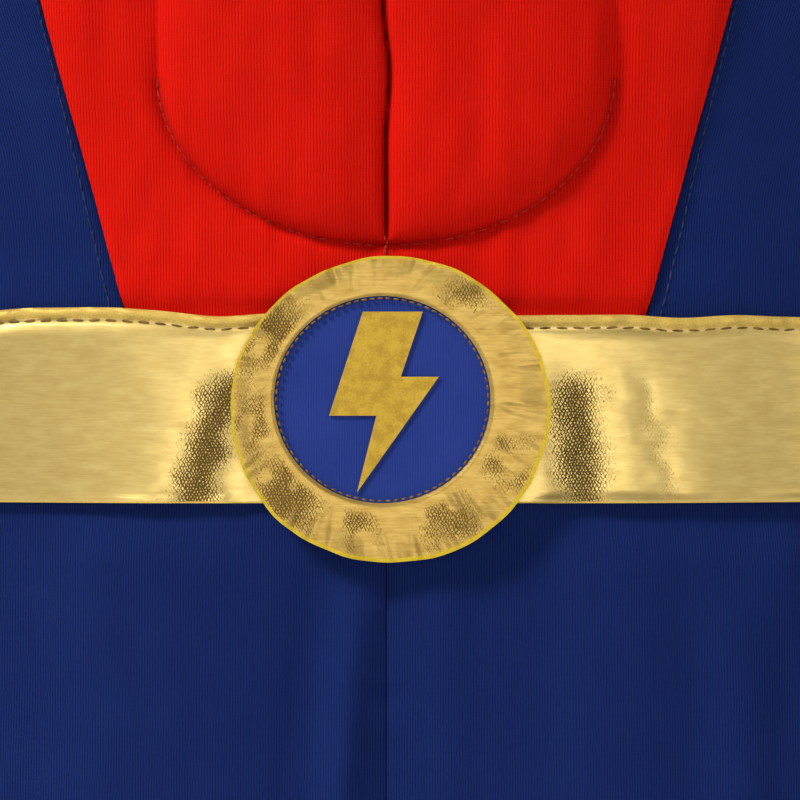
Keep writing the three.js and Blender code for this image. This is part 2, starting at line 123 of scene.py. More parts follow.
def unevenness(u, v, size, seed):
    # smooth random heights from -1 to 1, with bumps about size across
    lattice = np.random.default_rng(seed).uniform(-1, 1, (97, 97))
    gu, gv = np.broadcast_arrays(np.asarray(u) / size, np.asarray(v) / size)
    iu, iv = np.floor(gu).astype(int), np.floor(gv).astype(int)
    fu, fv = smooth(gu - iu, 0, 1), smooth(gv - iv, 0, 1)

    def corner(du, dv):
        return lattice[(iu + du) % len(lattice), (iv + dv) % len(lattice)]

    return mix(mix(corner(0, 0), corner(1, 0), fu), mix(corner(0, 1), corner(1, 1), fu), fv)


def unit(vectors):
    return vectors / np.maximum(np.linalg.norm(vectors, axis=-1, keepdims=True), 1e-12)


# The body that the top is cut to
def bodySize(which, z):
    levels = bodyShape["levels"]
    value = np.full(np.shape(z), float(levels[0][which]))
    for below, above in zip(levels, levels[1:]):
        eased = mix(below[which], above[which], smooth(z, below[0], above[0]))
        value = np.where(z >= below[0], eased, value)
    return value


def shoulderZ(x):
    beyond = np.maximum(0, np.abs(x) - neck["halfWidth"])
    return -shoulder["drop"] * beyond / (shoulder["tipX"] - neck["halfWidth"])


def archShare(x, z):
    below = np.clip((shoulderZ(x) - z) / bodyShape["arch"], 0, 1)
    return np.sqrt(1 - (1 - below) ** 2)


def bodyPoint(angle, z):
    # angle 0 is the centre front, a quarter turn the wearer's left, and a half turn the centre back
    angle, z = np.broadcast_arrays(np.asarray(angle, float), np.asarray(z, float))
    power = 2 / bodyShape["squareness"]
    sine, cosine = np.sin(angle), np.cos(angle)
    x = np.sign(sine) * bodySize(1, z) * np.abs(sine) ** power
    depth = np.where(cosine > 0, -bodySize(2, z), bodySize(3, z))
    y = depth * archShare(x, z) * np.abs(cosine) ** power
    return np.stack([x, y, z], axis=-1)


def frontAngle(x, z):
    share = np.clip(np.abs(x) / bodySize(1, z), 0, 1)
    return np.sign(x) * np.arcsin(share ** (bodyShape["squareness"] / 2))


def panelEdgeX(z):
    upper = np.clip((z - armhole["topZ"]) / (-shoulder["drop"] - armhole["topZ"]), 0, 1)
    lower = np.clip((z - waistSeam) / (armhole["topZ"] - waistSeam), 0, 1)
    above = mix(armhole["frontX"], shoulder["tipX"], upper)
    return np.where(z > armhole["topZ"], above, mix(redWaistX, armhole["frontX"], lower))


def topLine(x, drop):
    # height of the neckline, and of the shoulder seam past it
    across = np.clip(np.abs(x) / neck["halfWidth"], 0, 1)
    return np.where(np.abs(x) < neck["halfWidth"], -drop * np.sqrt(1 - across ** 2), shoulderZ(x))


def panelPoint(side, front, s, t):
    neckShare = neck["halfWidth"] / shoulder["tipX"]
    column, last = s * stations["across"], stations["toNeck"]  # the rest lie along the shoulder
    inner = neckShare * np.sin(np.clip(column / last, 0, 1) * math.pi / 2)
    outer = mix(neckShare, 1, (column - last) / (stations["across"] - last))
    share = np.where(column < last, inner, outer)
    top = topLine(share * shoulder["tipX"], neck["frontDrop"] if front else neck["backDrop"])
    z = mix(waistSeam, top, np.sin(t * math.pi / 2))
    halfGap = fabric["layerGap"] / 2
    x = side * mix(0 if front else halfGap, panelEdgeX(z), share)
    angle = frontAngle(x, z)
    point = bodyPoint(angle if front else side * math.pi - angle, z)
    limit = np.minimum(point[..., 1], -halfGap) if front else np.maximum(point[..., 1], halfGap)
    return np.stack([point[..., 0], limit, point[..., 2]], axis=-1)


def flankPoint(side, s, t):
    dip = np.sqrt(np.maximum(0, 1 - (2 * s - 1) ** 2)) * (armhole["underarmZ"] - armhole["topZ"])
    z = mix(waistSeam, armhole["topZ"] + dip, t)
    edge = frontAngle(side * (panelEdgeX(z) + fabric["edgeGap"]), z)
    return bodyPoint(mix(edge, side * math.pi - edge, s), z)


def quarterAngle(share):
    edge = float(frontAngle(redWaistX + fabric["edgeGap"], waistSeam))
    station, front = share * stations["across"], stations["redFront"]  # the rest lie over the side
    beyond = (station - front) / (stations["across"] - front)
    return np.where(station < front, edge * station / front, mix(edge, math.pi / 2, beyond))


def shoulderTop(x, y):
    power = bodyShape["squareness"]
    chest = bodyShape["levels"][3]
    across = (1 - np.clip(np.abs(x) / chest[1], 0, 1) ** power) ** (1 / power)
    depth = np.where(y < 0, chest[2], chest[3]) * across
    drop = bodyShape["arch"] * (1 - np.sqrt(1 - np.clip(np.abs(y) / depth, 0, 1) ** 2))
    return np.stack(np.broadcast_arrays(x, y, shoulderZ(x) - drop), axis=-1)


# A cloth is a grid of points with normals and its flat pattern, u across and v up, in millimetres
def fromBody(points):
    up = np.where(points[..., 2] > -40, 60.0, 0.0)
    return np.stack([points[..., 0] * 0.3, points[..., 1], up], axis=-1)


def backwards(points):
    return np.broadcast_to(np.array([0.0, 1.0, 0.0]), points.shape)


def upwards(points):
    return np.broadcast_to(np.array([0.0, 0.0, 1.0]), points.shape)


def grid(columns, rows):
    return np.meshgrid(np.linspace(0, 1, columns + 1), np.linspace(0, 1, rows + 1))


def clothOf(points, facing, grainColumn=0.0):
    # grainColumn is the share of the width where the knit runs straight up
    normals = unit(np.cross(np.gradient(points, axis=1), np.gradient(points, axis=0)))
    turned = np.sum(normals * facing(points), axis=-1, keepdims=True) < 0
    normals = np.where(turned, -normals, normals)
    runU = np.linalg.norm(np.diff(points, axis=1), axis=-1)
    runV = np.linalg.norm(np.diff(points, axis=0)[..., 1:], axis=-1)
    u = np.concatenate([np.zeros((points.shape[0], 1)), np.cumsum(runU, axis=1)], axis=1)
    v = np.concatenate([np.zeros((1, points.shape[1])), np.cumsum(runV, axis=0)], axis=0)
    straight = int(round(grainColumn * (points.shape[1] - 1)))
    return {"points": points, "normals": normals, "u": u - u[:, straight:straight + 1], "v": v}


def faceOf(cloth, distance):
    distance = np.broadcast_to(np.asarray(distance, float), cloth["u"].shape)
    return cloth["points"] + cloth["normals"] * distance[..., None]


def edgeDistances(cloth):
    # distance of every point from the cloth's two sides, its foot and its top
    u, v = cloth["u"], cloth["v"]
    return u - u[:, :1], u[:, -1:] - u, v, v[-1:] - v


def seamDips(cloth, depth=0.6, width=1.3):
    return -depth * sum(np.exp(-(away / width) ** 2) for away in edgeDistances(cloth))


def seamPuckers(cloth, seed, height, reach=9):
    u, v = cloth["u"], cloth["v"]
    left, right, foot, top = edgeDistances(cloth)
    acrossSeams = unevenness(v, u * 0.12, 4.5, seed) * np.exp(-np.minimum(left, right) / reach)
    upSeams = unevenness(u, v * 0.12, 4.5, seed + 1) * np.exp(-np.minimum(foot, top) / reach)
    return height * (acrossSeams + upSeams)


# Meshes
def makeMesh(name, vertices, faces, uv=None, sharpAngle=50, marks=None):
    mesh = bpy.data.meshes.new(name)
    mesh.from_pydata((np.asarray(vertices) * mm).tolist(), [], faces)
    mesh.polygons.foreach_set("use_smooth", np.ones(len(mesh.polygons), bool))
    if uv is not None:
        corners = np.empty(len(mesh.loops), int)
        mesh.loops.foreach_get("vertex_index", corners)
        layer = mesh.uv_layers.new(name="cloth")
        layer.data.foreach_set("uv", np.asarray(uv, float)[corners].ravel())
    for label, values in (marks or {}).items():
        attribute = mesh.attributes.new(label, "FLOAT", "POINT")
        attribute.data.foreach_set("value", np.asarray(values, float).ravel())
    mesh.set_sharp_from_angle(angle=math.radians(sharpAngle))
    piece = bpy.data.objects.new(name, mesh)
    bpy.context.scene.collection.objects.link(piece)
    return piece


def gridFaces(columns, rows, start, flip):
    i, j = np.meshgrid(np.arange(columns), np.arange(rows))
    a = (j * (columns + 1) + i).ravel() + start
    b, c, d = a + 1, a + columns + 2, a + columns + 1
    return np.stack([a, d, c, b] if flip else [a, b, c, d], axis=1)


def makeSheet(name, cloth, low, high, marks=None):
    # a closed sheet of cloth between two distances from its base surface
    outer, inner = faceOf(cloth, high), faceOf(cloth, low)
    rows, columns = outer.shape[0] - 1, outer.shape[1] - 1
    j, i = rows // 2, columns // 2
    turn = np.cross(outer[j, i + 1] - outer[j, i], outer[j + 1, i] - outer[j, i])
    flip = bool(np.dot(turn, cloth["normals"][j, i]) < 0)
    count = outer.shape[0] * outer.shape[1]
    rim = np.concatenate([
        np.arange(columns), np.arange(rows) * (columns + 1) + columns,
        rows * (columns + 1) + np.arange(columns, 0, -1), np.arange(rows, 0, -1) * (columns + 1),
    ])
    following = np.roll(rim, -1)
    band = [rim, rim + count, following + count, following]
    faces = np.concatenate([
        gridFaces(columns, rows, 0, flip), gridFaces(columns, rows, count, not flip),
        np.stack(band[::-1] if flip else band, axis=1),
    ])
    pattern = np.stack([cloth.get("wales", cloth["u"]), cloth["v"]], axis=-1).reshape(-1, 2)
    vertices = np.concatenate([outer.reshape(-1, 3), inner.reshape(-1, 3)])
    both = {label: np.tile(np.ravel(values), 2) for label, values in (marks or {}).items()}
    return makeMesh(name, vertices, faces.tolist(), np.tile(pattern, (2, 1)), marks=both)


def curveThrough(points, steps, closed):
    # a smooth curve through points, steps to each stretch
    points = np.asarray(points, float)
    if closed:
        around = np.concatenate([points[-1:], points, points[:2]])
    else:
        around = np.concatenate([2 * points[:1] - points[1:2], points, 2 * points[-1:] - points[-2:-1]])
    p0, p1, p2, p3 = around[:-3], around[1:-2], around[2:-1], around[3:]
    share = (np.arange(steps) / steps)[None, :, None]
    a, b, c, d = (p[:, None] for p in (p0, p1, p2, p3))
    run = 0.5 * (2 * b + (c - a) * share + (2 * a - 5 * b + 4 * c - d) * share ** 2
                 + (3 * b - a - 3 * c + d) * share ** 3)
    run = run.reshape(-1, 3)
    return run if closed else np.concatenate([run, points[-1:]])


def makeSweep(name, path, reference, section, closed):
    # a section of points (along the reference, across it) carried along a path
    path = np.asarray(path, float)
    before, after = np.roll(path, 1, axis=0), np.roll(path, -1, axis=0)
    if not closed:
        before[0], after[-1] = path[0], path[-1]
    run = unit(after - before)
    reference = np.broadcast_to(np.asarray(reference, float), path.shape)
    first = unit(reference - run * np.sum(reference * run, axis=1, keepdims=True))
    second = np.cross(run, first)
    rings = (path[:, None] + first[:, None] * section[None, :, :1] + second[:, None] * section[None, :, 1:])
    count, around = len(path), len(section)
    faces = []
    for i in range(count if closed else count - 1):
        a, b = i * around, ((i + 1) % count) * around
        faces.extend((a + k, a + (k + 1) % around, b + (k + 1) % around, b + k) for k in range(around))
    if not closed:
        faces.append(tuple(reversed(range(around))))
        faces.append(tuple(range((count - 1) * around, count * around)))
    length = np.concatenate([[0], np.cumsum(np.linalg.norm(np.diff(path, axis=0), axis=1))])
    girth = np.cumsum(np.linalg.norm(np.diff(section, axis=0, prepend=section[:1]), axis=1))
    uv = np.stack(np.meshgrid(girth, length), axis=-1).reshape(-1, 2)
    return makeMesh(name, rings.reshape(-1, 3), faces, uv)


def ovalSection(width, height, around=12):
    angle = np.arange(around) * 2 * math.pi / around
    return np.stack([np.cos(angle) * width / 2, np.sin(angle) * height / 2], axis=1)


def alongPath(path, normals, pitch, closed=False):
    # evenly spaced places on a path, with the path's direction and the cloth's normal there
    if closed:
        path, normals = np.concatenate([path, path[:1]]), np.concatenate([normals, normals[:1]])
    length = np.concatenate([[0], np.cumsum(np.linalg.norm(np.diff(path, axis=0), axis=1))])
    count = max(1, int(round(length[-1] / pitch)))
    places = (np.arange(count) + 0.5) * length[-1] / count

    def at(values, where):
        return np.stack([np.interp(where, length, values[:, k]) for k in range(3)], axis=1)

    half = pitch * 0.35
    run = unit(at(path, places + half) - at(path, places - half))
    return at(path, places), run, unit(at(normals, places))


def makeStitches(name, path, normals, stitch, closed=False):
    # plump stitches laid end to end; stitch gives their pitch, length, width and height
    centres, run, up = alongPath(np.asarray(path), np.asarray(normals), stitch["pitch"], closed)
    across = unit(np.cross(up, run))
    rings, around = 7, 8
    turn = np.linspace(0.12, math.pi - 0.12, rings)
    angle = np.arange(around) * 2 * math.pi / around
    slack = np.random.default_rng(len(centres)).uniform(-0.12, 0.12, (len(centres), 1, 1, 1))
    lean = run + across * slack[:, 0, 0]
    along = -np.cos(turn)[None, :, None, None] * stitch["length"] / 2 * lean[:, None, None, :]
    girth = np.sin(turn)[None, :, None, None] ** 0.6
    wide = np.cos(angle)[None, None, :, None] * stitch["width"] / 2 * across[:, None, None, :]
    high = np.sin(angle)[None, None, :, None] * stitch["height"] / 2 * up[:, None, None, :]
    arched = (np.sin(turn)[None, :, None, None] - 0.6) * stitch["height"] * 0.3 * up[:, None, None, :]
    points = centres[:, None, None, :] + along + girth * (wide + high) + arched
    faces = []
    for i in range(len(centres)):
        start = i * rings * around
        for j in range(rings - 1):
            a = start + j * around
            faces.extend((a + k, a + around + k, a + around + (k + 1) % around, a + (k + 1) % around)
                         for k in range(around))
        faces.append(tuple(start + k for k in range(around)))
        faces.append(tuple(start + (rings - 1) * around + k for k in reversed(range(around))))
    uv = np.stack(np.broadcast_arrays(angle[None, None, :], turn[None, :, None],
                                      np.zeros((len(centres), 1, 1)))[:2], axis=-1).reshape(-1, 2)
    return makeMesh(name, points.reshape(-1, 3), faces, uv)


def insetLine(cloth, distance, edge, inset):
    # a line at an even inset from the foot, top, start or end of a cloth
    face = faceOf(cloth, distance)
    if edge in ("foot", "top"):
        length = cloth["v"][-1]
        share = np.clip(inset / length if edge == "foot" else 1 - inset / length, 0, 1)
        values = [np.interp(share[i] * length[i], cloth["v"][:, i], np.arange(len(cloth["v"])))
                  for i in range(cloth["v"].shape[1])]
        low = np.minimum(np.array(values).astype(int), face.shape[0] - 2)
        part = (np.array(values) - low)[:, None]
        columns = np.arange(face.shape[1])
        return (mix(face[low, columns], face[low + 1, columns], part),
                unit(mix(cloth["normals"][low, columns], cloth["normals"][low + 1, columns], part)))
    u = cloth["u"] - cloth["u"][:, :1]
    wanted = inset if edge == "start" else u[:, -1] - inset
    wanted = np.broadcast_to(wanted, u.shape[0])
    values = [np.interp(wanted[j], u[j], np.arange(u.shape[1])) for j in range(u.shape[0])]
    low = np.minimum(np.array(values).astype(int), face.shape[1] - 2)
    part = (np.array(values) - low)[:, None]
    rows = np.arange(face.shape[0])
    return (mix(face[rows, low], face[rows, low + 1], part),
            unit(mix(cloth["normals"][rows, low], cloth["normals"][rows, low + 1], part)))


# Shader building blocks
def addNode(tree, kind, inputs=None, **settings):
    made = tree.nodes.new(kind)
    for key, value in settings.items():
        setattr(made, key, value)
    for key, value in (inputs or {}).items():
        if isinstance(value, bpy.types.NodeSocket):
            tree.links.new(value, made.inputs[key])
        else:
            made.inputs[key].default_value = value
    return made


def mathOf(tree, operation, a, b=0.0, c=0.0):
    return addNode(tree, "ShaderNodeMath", {0: a, 1: b, 2: c}, operation=operation).outputs[0]


def stepOf(tree, value, low, high):
    return addNode(tree, "ShaderNodeMapRange", {"Value": value, "From Min": low, "From Max": high},
                   interpolation_type="SMOOTHSTEP").outputs["Result"]


def noiseOf(tree, vector, scale, detail=3.0, roughness=0.5):
    return addNode(tree, "ShaderNodeTexNoise", {
        "Vector": vector, "Scale": scale, "Detail": detail, "Roughness": roughness,
    }).outputs["Fac"]


def stretchOf(tree, vector, x, y, turn=0.0):
    return addNode(tree, "ShaderNodeMapping", {
        "Vector": vector, "Scale": (x, y, 1.0), "Rotation": (0.0, 0.0, math.radians(turn)),
    }).outputs["Vector"]


def wobbledOf(tree, vector, scale, amount):
    # shifts a pattern about a little, so that it isn't ruled
    wander = addNode(tree, "ShaderNodeTexNoise", {"Vector": vector, "Scale": scale, "Detail": 2.0})
    shift = addNode(tree, "ShaderNodeVectorMath", {0: wander.outputs["Color"], "Scale": amount},
                    operation="SCALE")
    return addNode(tree, "ShaderNodeVectorMath", {0: vector, 1: shift.outputs[0]}, operation="ADD").outputs[0]


def blendOf(tree, share, a, b):
    made = tree.nodes.new("ShaderNodeMix")
    made.data_type = "RGBA"
    for index, value in ((0, share), (6, a), (7, b)):
        if isinstance(value, bpy.types.NodeSocket):
            tree.links.new(value, made.inputs[index])
        else:
            made.inputs[index].default_value = value
    return made.outputs[2]


def colour(red, green, blue):
    # a colour picked on a screen, from 0 to 255, as light
    def channel(value):
        value = value / 255
        return value / 12.92 if value <= 0.04045 else ((value + 0.055) / 1.055) ** 2.4

    return (channel(red), channel(green), channel(blue), 1.0)


def newGroup(name, inputs, outputs):
    tree = bpy.data.node_groups.new(name, "ShaderNodeTree")
    for label, value in inputs.items():
        kind = "NodeSocketVector" if value is None else "NodeSocketFloat"
        socket = tree.interface.new_socket(label, in_out="INPUT", socket_type=kind)
        if value is not None:
            socket.default_value = value
    for label in outputs:
        tree.interface.new_socket(label, in_out="OUTPUT", socket_type="NodeSocketFloat")
    return tree, tree.nodes.new("NodeGroupInput").outputs, tree.nodes.new("NodeGroupOutput").inputs


def buildKnitGroup():
    # columns of small V stitches, as high as 1, with uneven yarn; Shade is painted shade, darker where the
    # knit lies low between its wales, and Patches are slow patches of tone across the cloth
    tree, given, result = newGroup("knitStitches", {
        "Cloth": None, "Wale": 0.72, "Course": 0.6, "Unevenness": 0.5,
    }, ("Height", "Shade", "Patches"))
    place = addNode(tree, "ShaderNodeSeparateXYZ", {0: wobbledOf(tree, given["Cloth"], 0.35, 0.5)})
    column = mathOf(tree, "FRACT", mathOf(tree, "DIVIDE", place.outputs[0], given["Wale"]))
    lean = mathOf(tree, "ABSOLUTE", mathOf(tree, "SUBTRACT", column, 0.5))
    course = mathOf(tree, "DIVIDE", place.outputs[1], given["Course"])
    stitch = mathOf(tree, "FRACT", mathOf(tree, "MULTIPLY_ADD", lean, 1.3, course))
    loop = mathOf(tree, "SINE", mathOf(tree, "MULTIPLY", stitch, math.pi))
    gutter = mathOf(tree, "POWER", mathOf(tree, "MULTIPLY", lean, 2.0), 3.0)
    column = mathOf(tree, "SUBTRACT", 1.0, gutter)
    yarn = noiseOf(tree, given["Cloth"], 1.1, 4.0, 0.65)
    height = mathOf(tree, "MULTIPLY", column, mathOf(tree, "MULTIPLY_ADD", loop, 0.45, 0.55))
    fuzzy = mathOf(tree, "MULTIPLY_ADD", mathOf(tree, "SUBTRACT", yarn, 0.5), given["Unevenness"], height)
    tree.links.new(fuzzy, result["Height"])
    tree.links.new(stepOf(tree, fuzzy, 0.05, 0.85), result["Shade"])
    tree.links.new(noiseOf(tree, given["Cloth"], 0.05, 4.0, 0.6), result["Patches"])
    return tree


def buildFoilGroup():
    # pressed foil on cloth: fine streaks, faint creases, and painted dark reflection:
    # dark specks in the pattern of the knit under it, laid where the mesh marks them
    tree, given, result = newGroup("pressedFoil", {
        "Cloth": None, "PaintedDarkReflection": 0.0, "Streaks": 0.6,
    }, ("Height", "Shine", "Specks"))
    streaks = noiseOf(tree, stretchOf(tree, given["Cloth"], 0.1, 1.6), 1.5, 5.0, 0.65)
    creases = noiseOf(tree, stretchOf(tree, given["Cloth"], 0.16, 0.4, 20), 1.0, 3.0, 0.6)
    slanted = stretchOf(tree, wobbledOf(tree, given["Cloth"], 0.5, 1.4), 1.8, 1.0, 45)
    turned = addNode(tree, "ShaderNodeSeparateXYZ", {0: slanted})
    ribs = []
    for way in (0, 1):
        fromRib = mathOf(tree, "SUBTRACT", mathOf(tree, "FRACT", turned.outputs[way]), 0.5)
        ribs.append(mathOf(tree, "ABSOLUTE", fromRib))
    lattice = mathOf(tree, "MULTIPLY", mathOf(tree, "MAXIMUM", ribs[0], ribs[1]), 2.0)
    grains = noiseOf(tree, given["Cloth"], 1.3, 4.0, 0.7)
    ragged = mathOf(tree, "MULTIPLY_ADD", mathOf(tree, "SUBTRACT", grains, 0.5), 1.2, lattice)
    reach = mathOf(tree, "MULTIPLY_ADD", given["PaintedDarkReflection"], -0.95, 1.28)
    specks = stepOf(tree, mathOf(tree, "SUBTRACT", ragged, reach), -0.12, 0.3)
    deep = mathOf(tree, "MULTIPLY", specks, -0.6)
    lines = mathOf(tree, "MULTIPLY", streaks, given["Streaks"])
    tree.links.new(mathOf(tree, "ADD", mathOf(tree, "ADD", lines, creases), deep), result["Height"])
    tree.links.new(mathOf(tree, "MULTIPLY_ADD", creases, 0.5, mathOf(tree, "MULTIPLY", streaks, 0.5)),
                   result["Shine"])
    tree.links.new(specks, result["Specks"])
    return tree


def buildSatinGroup():
    # crossed threads too fine to count, with a slow slub along them
    tree, given, result = newGroup("satinWeave", {"Cloth": None, "Thread": 0.35}, ("Height", "Slub"))
    place = addNode(tree, "ShaderNodeSeparateXYZ", {0: given["Cloth"]})
    turns = mathOf(tree, "DIVIDE", 2 * math.pi, given["Thread"])
    across = mathOf(tree, "SINE", mathOf(tree, "MULTIPLY", place.outputs[0], turns))
    along = mathOf(tree, "SINE", mathOf(tree, "MULTIPLY", place.outputs[1], turns))
    tree.links.new(mathOf(tree, "MULTIPLY", across, along), result["Height"])
    tree.links.new(noiseOf(tree, stretchOf(tree, given["Cloth"], 0.9, 0.04), 1.0, 4.0), result["Slub"])
    return tree


groups = {"knit": buildKnitGroup(), "foil": buildFoilGroup(), "satin": buildSatinGroup()}


def newMaterial(name, shaderValues):
    material = bpy.data.materials.new(name)
    material.use_nodes = True
    tree = material.node_tree
    shader = tree.nodes["Principled BSDF"]
    for socket, value in shaderValues.items():
        shader.inputs[socket].default_value = value
    return material, tree, shader


def clothVector(tree):
    return addNode(tree, "ShaderNodeUVMap", uv_map="cloth").outputs["UV"]


def useGroup(tree, name, inputs):
    made = tree.nodes.new("ShaderNodeGroup")
    made.node_tree = groups[name]
    for label, value in inputs.items():
        if isinstance(value, bpy.types.NodeSocket):
            tree.links.new(value, made.inputs[label])
        else:
            made.inputs[label].default_value = value
    return made.outputs


def addRelief(tree, shader, height, distance):
    made = addNode(tree, "ShaderNodeBump", {"Height": height, "Distance": distance * mm, "Strength": 1.0})
    tree.links.new(made.outputs["Normal"], shader.inputs["Normal"])


def knitMaterial(name, look):
    material, tree, shader = newMaterial(name, {
        "Sheen Weight": look["sheen"], "Sheen Roughness": 0.45, "Sheen Tint": look["sheenTint"],
        "Specular IOR Level": look["specular"],
    })
    cloth = clothVector(tree)
    knit = useGroup(tree, "knit", {
        "Cloth": cloth, "Wale": look["wale"], "Course": look["course"], "Unevenness": look["unevenness"],
    })
    # the gutter colour is painted shade: the knit is painted darker where it lies low between its wales
    yarn = blendOf(tree, knit["Shade"], look["gutter"], look["yarn"])
    patches = stepOf(tree, knit["Patches"], 0.35, 0.7)
    cloth = blendOf(tree, patches, yarn, blendOf(tree, look["patchShare"], yarn, look["patch"]))
    # painted crease shade: the colour goes towards the deep colour where the mesh marks the groove and the
    # quilting line
    paintedCreaseShade = markOf(tree, "paintedCreaseShade")  # deep in a crease
    tree.links.new(blendOf(tree, paintedCreaseShade, cloth, look["deep"]), shader.inputs["Base Color"])
    rough = addNode(tree, "ShaderNodeMapRange", {
        "Value": knit["Shade"], "To Min": look["roughness"] + 0.12, "To Max": look["roughness"],
    })
    tree.links.new(rough.outputs[0], shader.inputs["Roughness"])
    addRelief(tree, shader, knit["Height"], look["relief"])
    return material


def markOf(tree, mark):
    return addNode(tree, "ShaderNodeAttribute", attribute_name=mark).outputs["Fac"]


def foilMaterial(name, look):
    # the mesh says where dark reflection is painted on the foil and where its yellow edge lies
    material, tree, shader = newMaterial(name, {"Specular IOR Level": 0.3})
    cloth = clothVector(tree)
    foil = useGroup(tree, "foil", {
        "Cloth": cloth, "PaintedDarkReflection": markOf(tree, "paintedDarkReflection"), "Streaks": look["streaks"],
    })
    shine = stepOf(tree, foil["Shine"], 0.3, 0.72)
    sheet = blendOf(tree, shine, look["dim"], look["bright"])
    specked = blendOf(tree, foil["Specks"], sheet, look["speck"])
    metal = mathOf(tree, "MULTIPLY_ADD", foil["Specks"], -0.5, look["metal"])
    rough = mathOf(tree, "MULTIPLY_ADD", foil["Specks"], 0.15, look["roughness"])
    edge = mathOf(tree, "SUBTRACT", markOf(tree, "edge"), 0.35)
    frayed = mathOf(tree, "MULTIPLY_ADD", noiseOf(tree, cloth, 1.3, 3.0), 0.7, edge)
    bare = stepOf(tree, frayed, 0.42, 0.6)
    crumbs = blendOf(tree, noiseOf(tree, cloth, 2.2, 3.0), look["edgeDark"], look["edgeBright"])
    dulled = mathOf(tree, "SUBTRACT", 1.0, mathOf(tree, "MULTIPLY", bare, 0.7))
    tree.links.new(blendOf(tree, bare, specked, crumbs), shader.inputs["Base Color"])
    tree.links.new(mathOf(tree, "MULTIPLY", metal, dulled), shader.inputs["Metallic"])
    tree.links.new(mathOf(tree, "MULTIPLY_ADD", bare, 0.15, rough), shader.inputs["Roughness"])
    addRelief(tree, shader, foil["Height"], look["relief"])
    return material


def satinMaterial(name, look):
    material, tree, shader = newMaterial(name, {
        "Sheen Weight": 0.25, "Sheen Roughness": 0.3, "Anisotropic": 0.5, "Specular IOR Level": 0.6,
    })
    satin = useGroup(tree, "satin", {"Cloth": clothVector(tree), "Thread": look["thread"]})
    tree.links.new(blendOf(tree, stepOf(tree, satin["Slub"], 0.3, 0.7), look["low"], look["high"]),
                   shader.inputs["Base Color"])
    tree.links.new(mathOf(tree, "MULTIPLY_ADD", satin["Slub"], 0.12, look["roughness"]),
                   shader.inputs["Roughness"])
    addRelief(tree, shader, satin["Height"], look["relief"])
    return material


def fuzzyMaterial(name, look):
    # felt, fibre wadding, hook tape, thread and print: noise of one grain size over another
    material, tree, shader = newMaterial(name, {
        "Sheen Weight": look.get("sheen", 0.0), "Specular IOR Level": look.get("specular", 0.3),
        "Metallic": look.get("metal", 0.0),
    })
    place = addNode(tree, "ShaderNodeTexCoord").outputs["Object"]
    fine = noiseOf(tree, place, 1 / (look["grain"] * mm), 4.0, 0.65)
    broad = noiseOf(tree, place, 1 / (look["patch"] * mm), 3.0, 0.55)
    both = mathOf(tree, "MULTIPLY_ADD", fine, 0.5, mathOf(tree, "MULTIPLY", broad, 0.5))
    tree.links.new(blendOf(tree, stepOf(tree, both, 0.36, 0.64), look["dark"], look["light"]),
                   shader.inputs["Base Color"])
    rough = mathOf(tree, "MULTIPLY_ADD", fine, 0.15, look["roughness"] - 0.07)
    tree.links.new(rough, shader.inputs["Roughness"])
    addRelief(tree, shader, fine, look["relief"])
    return material
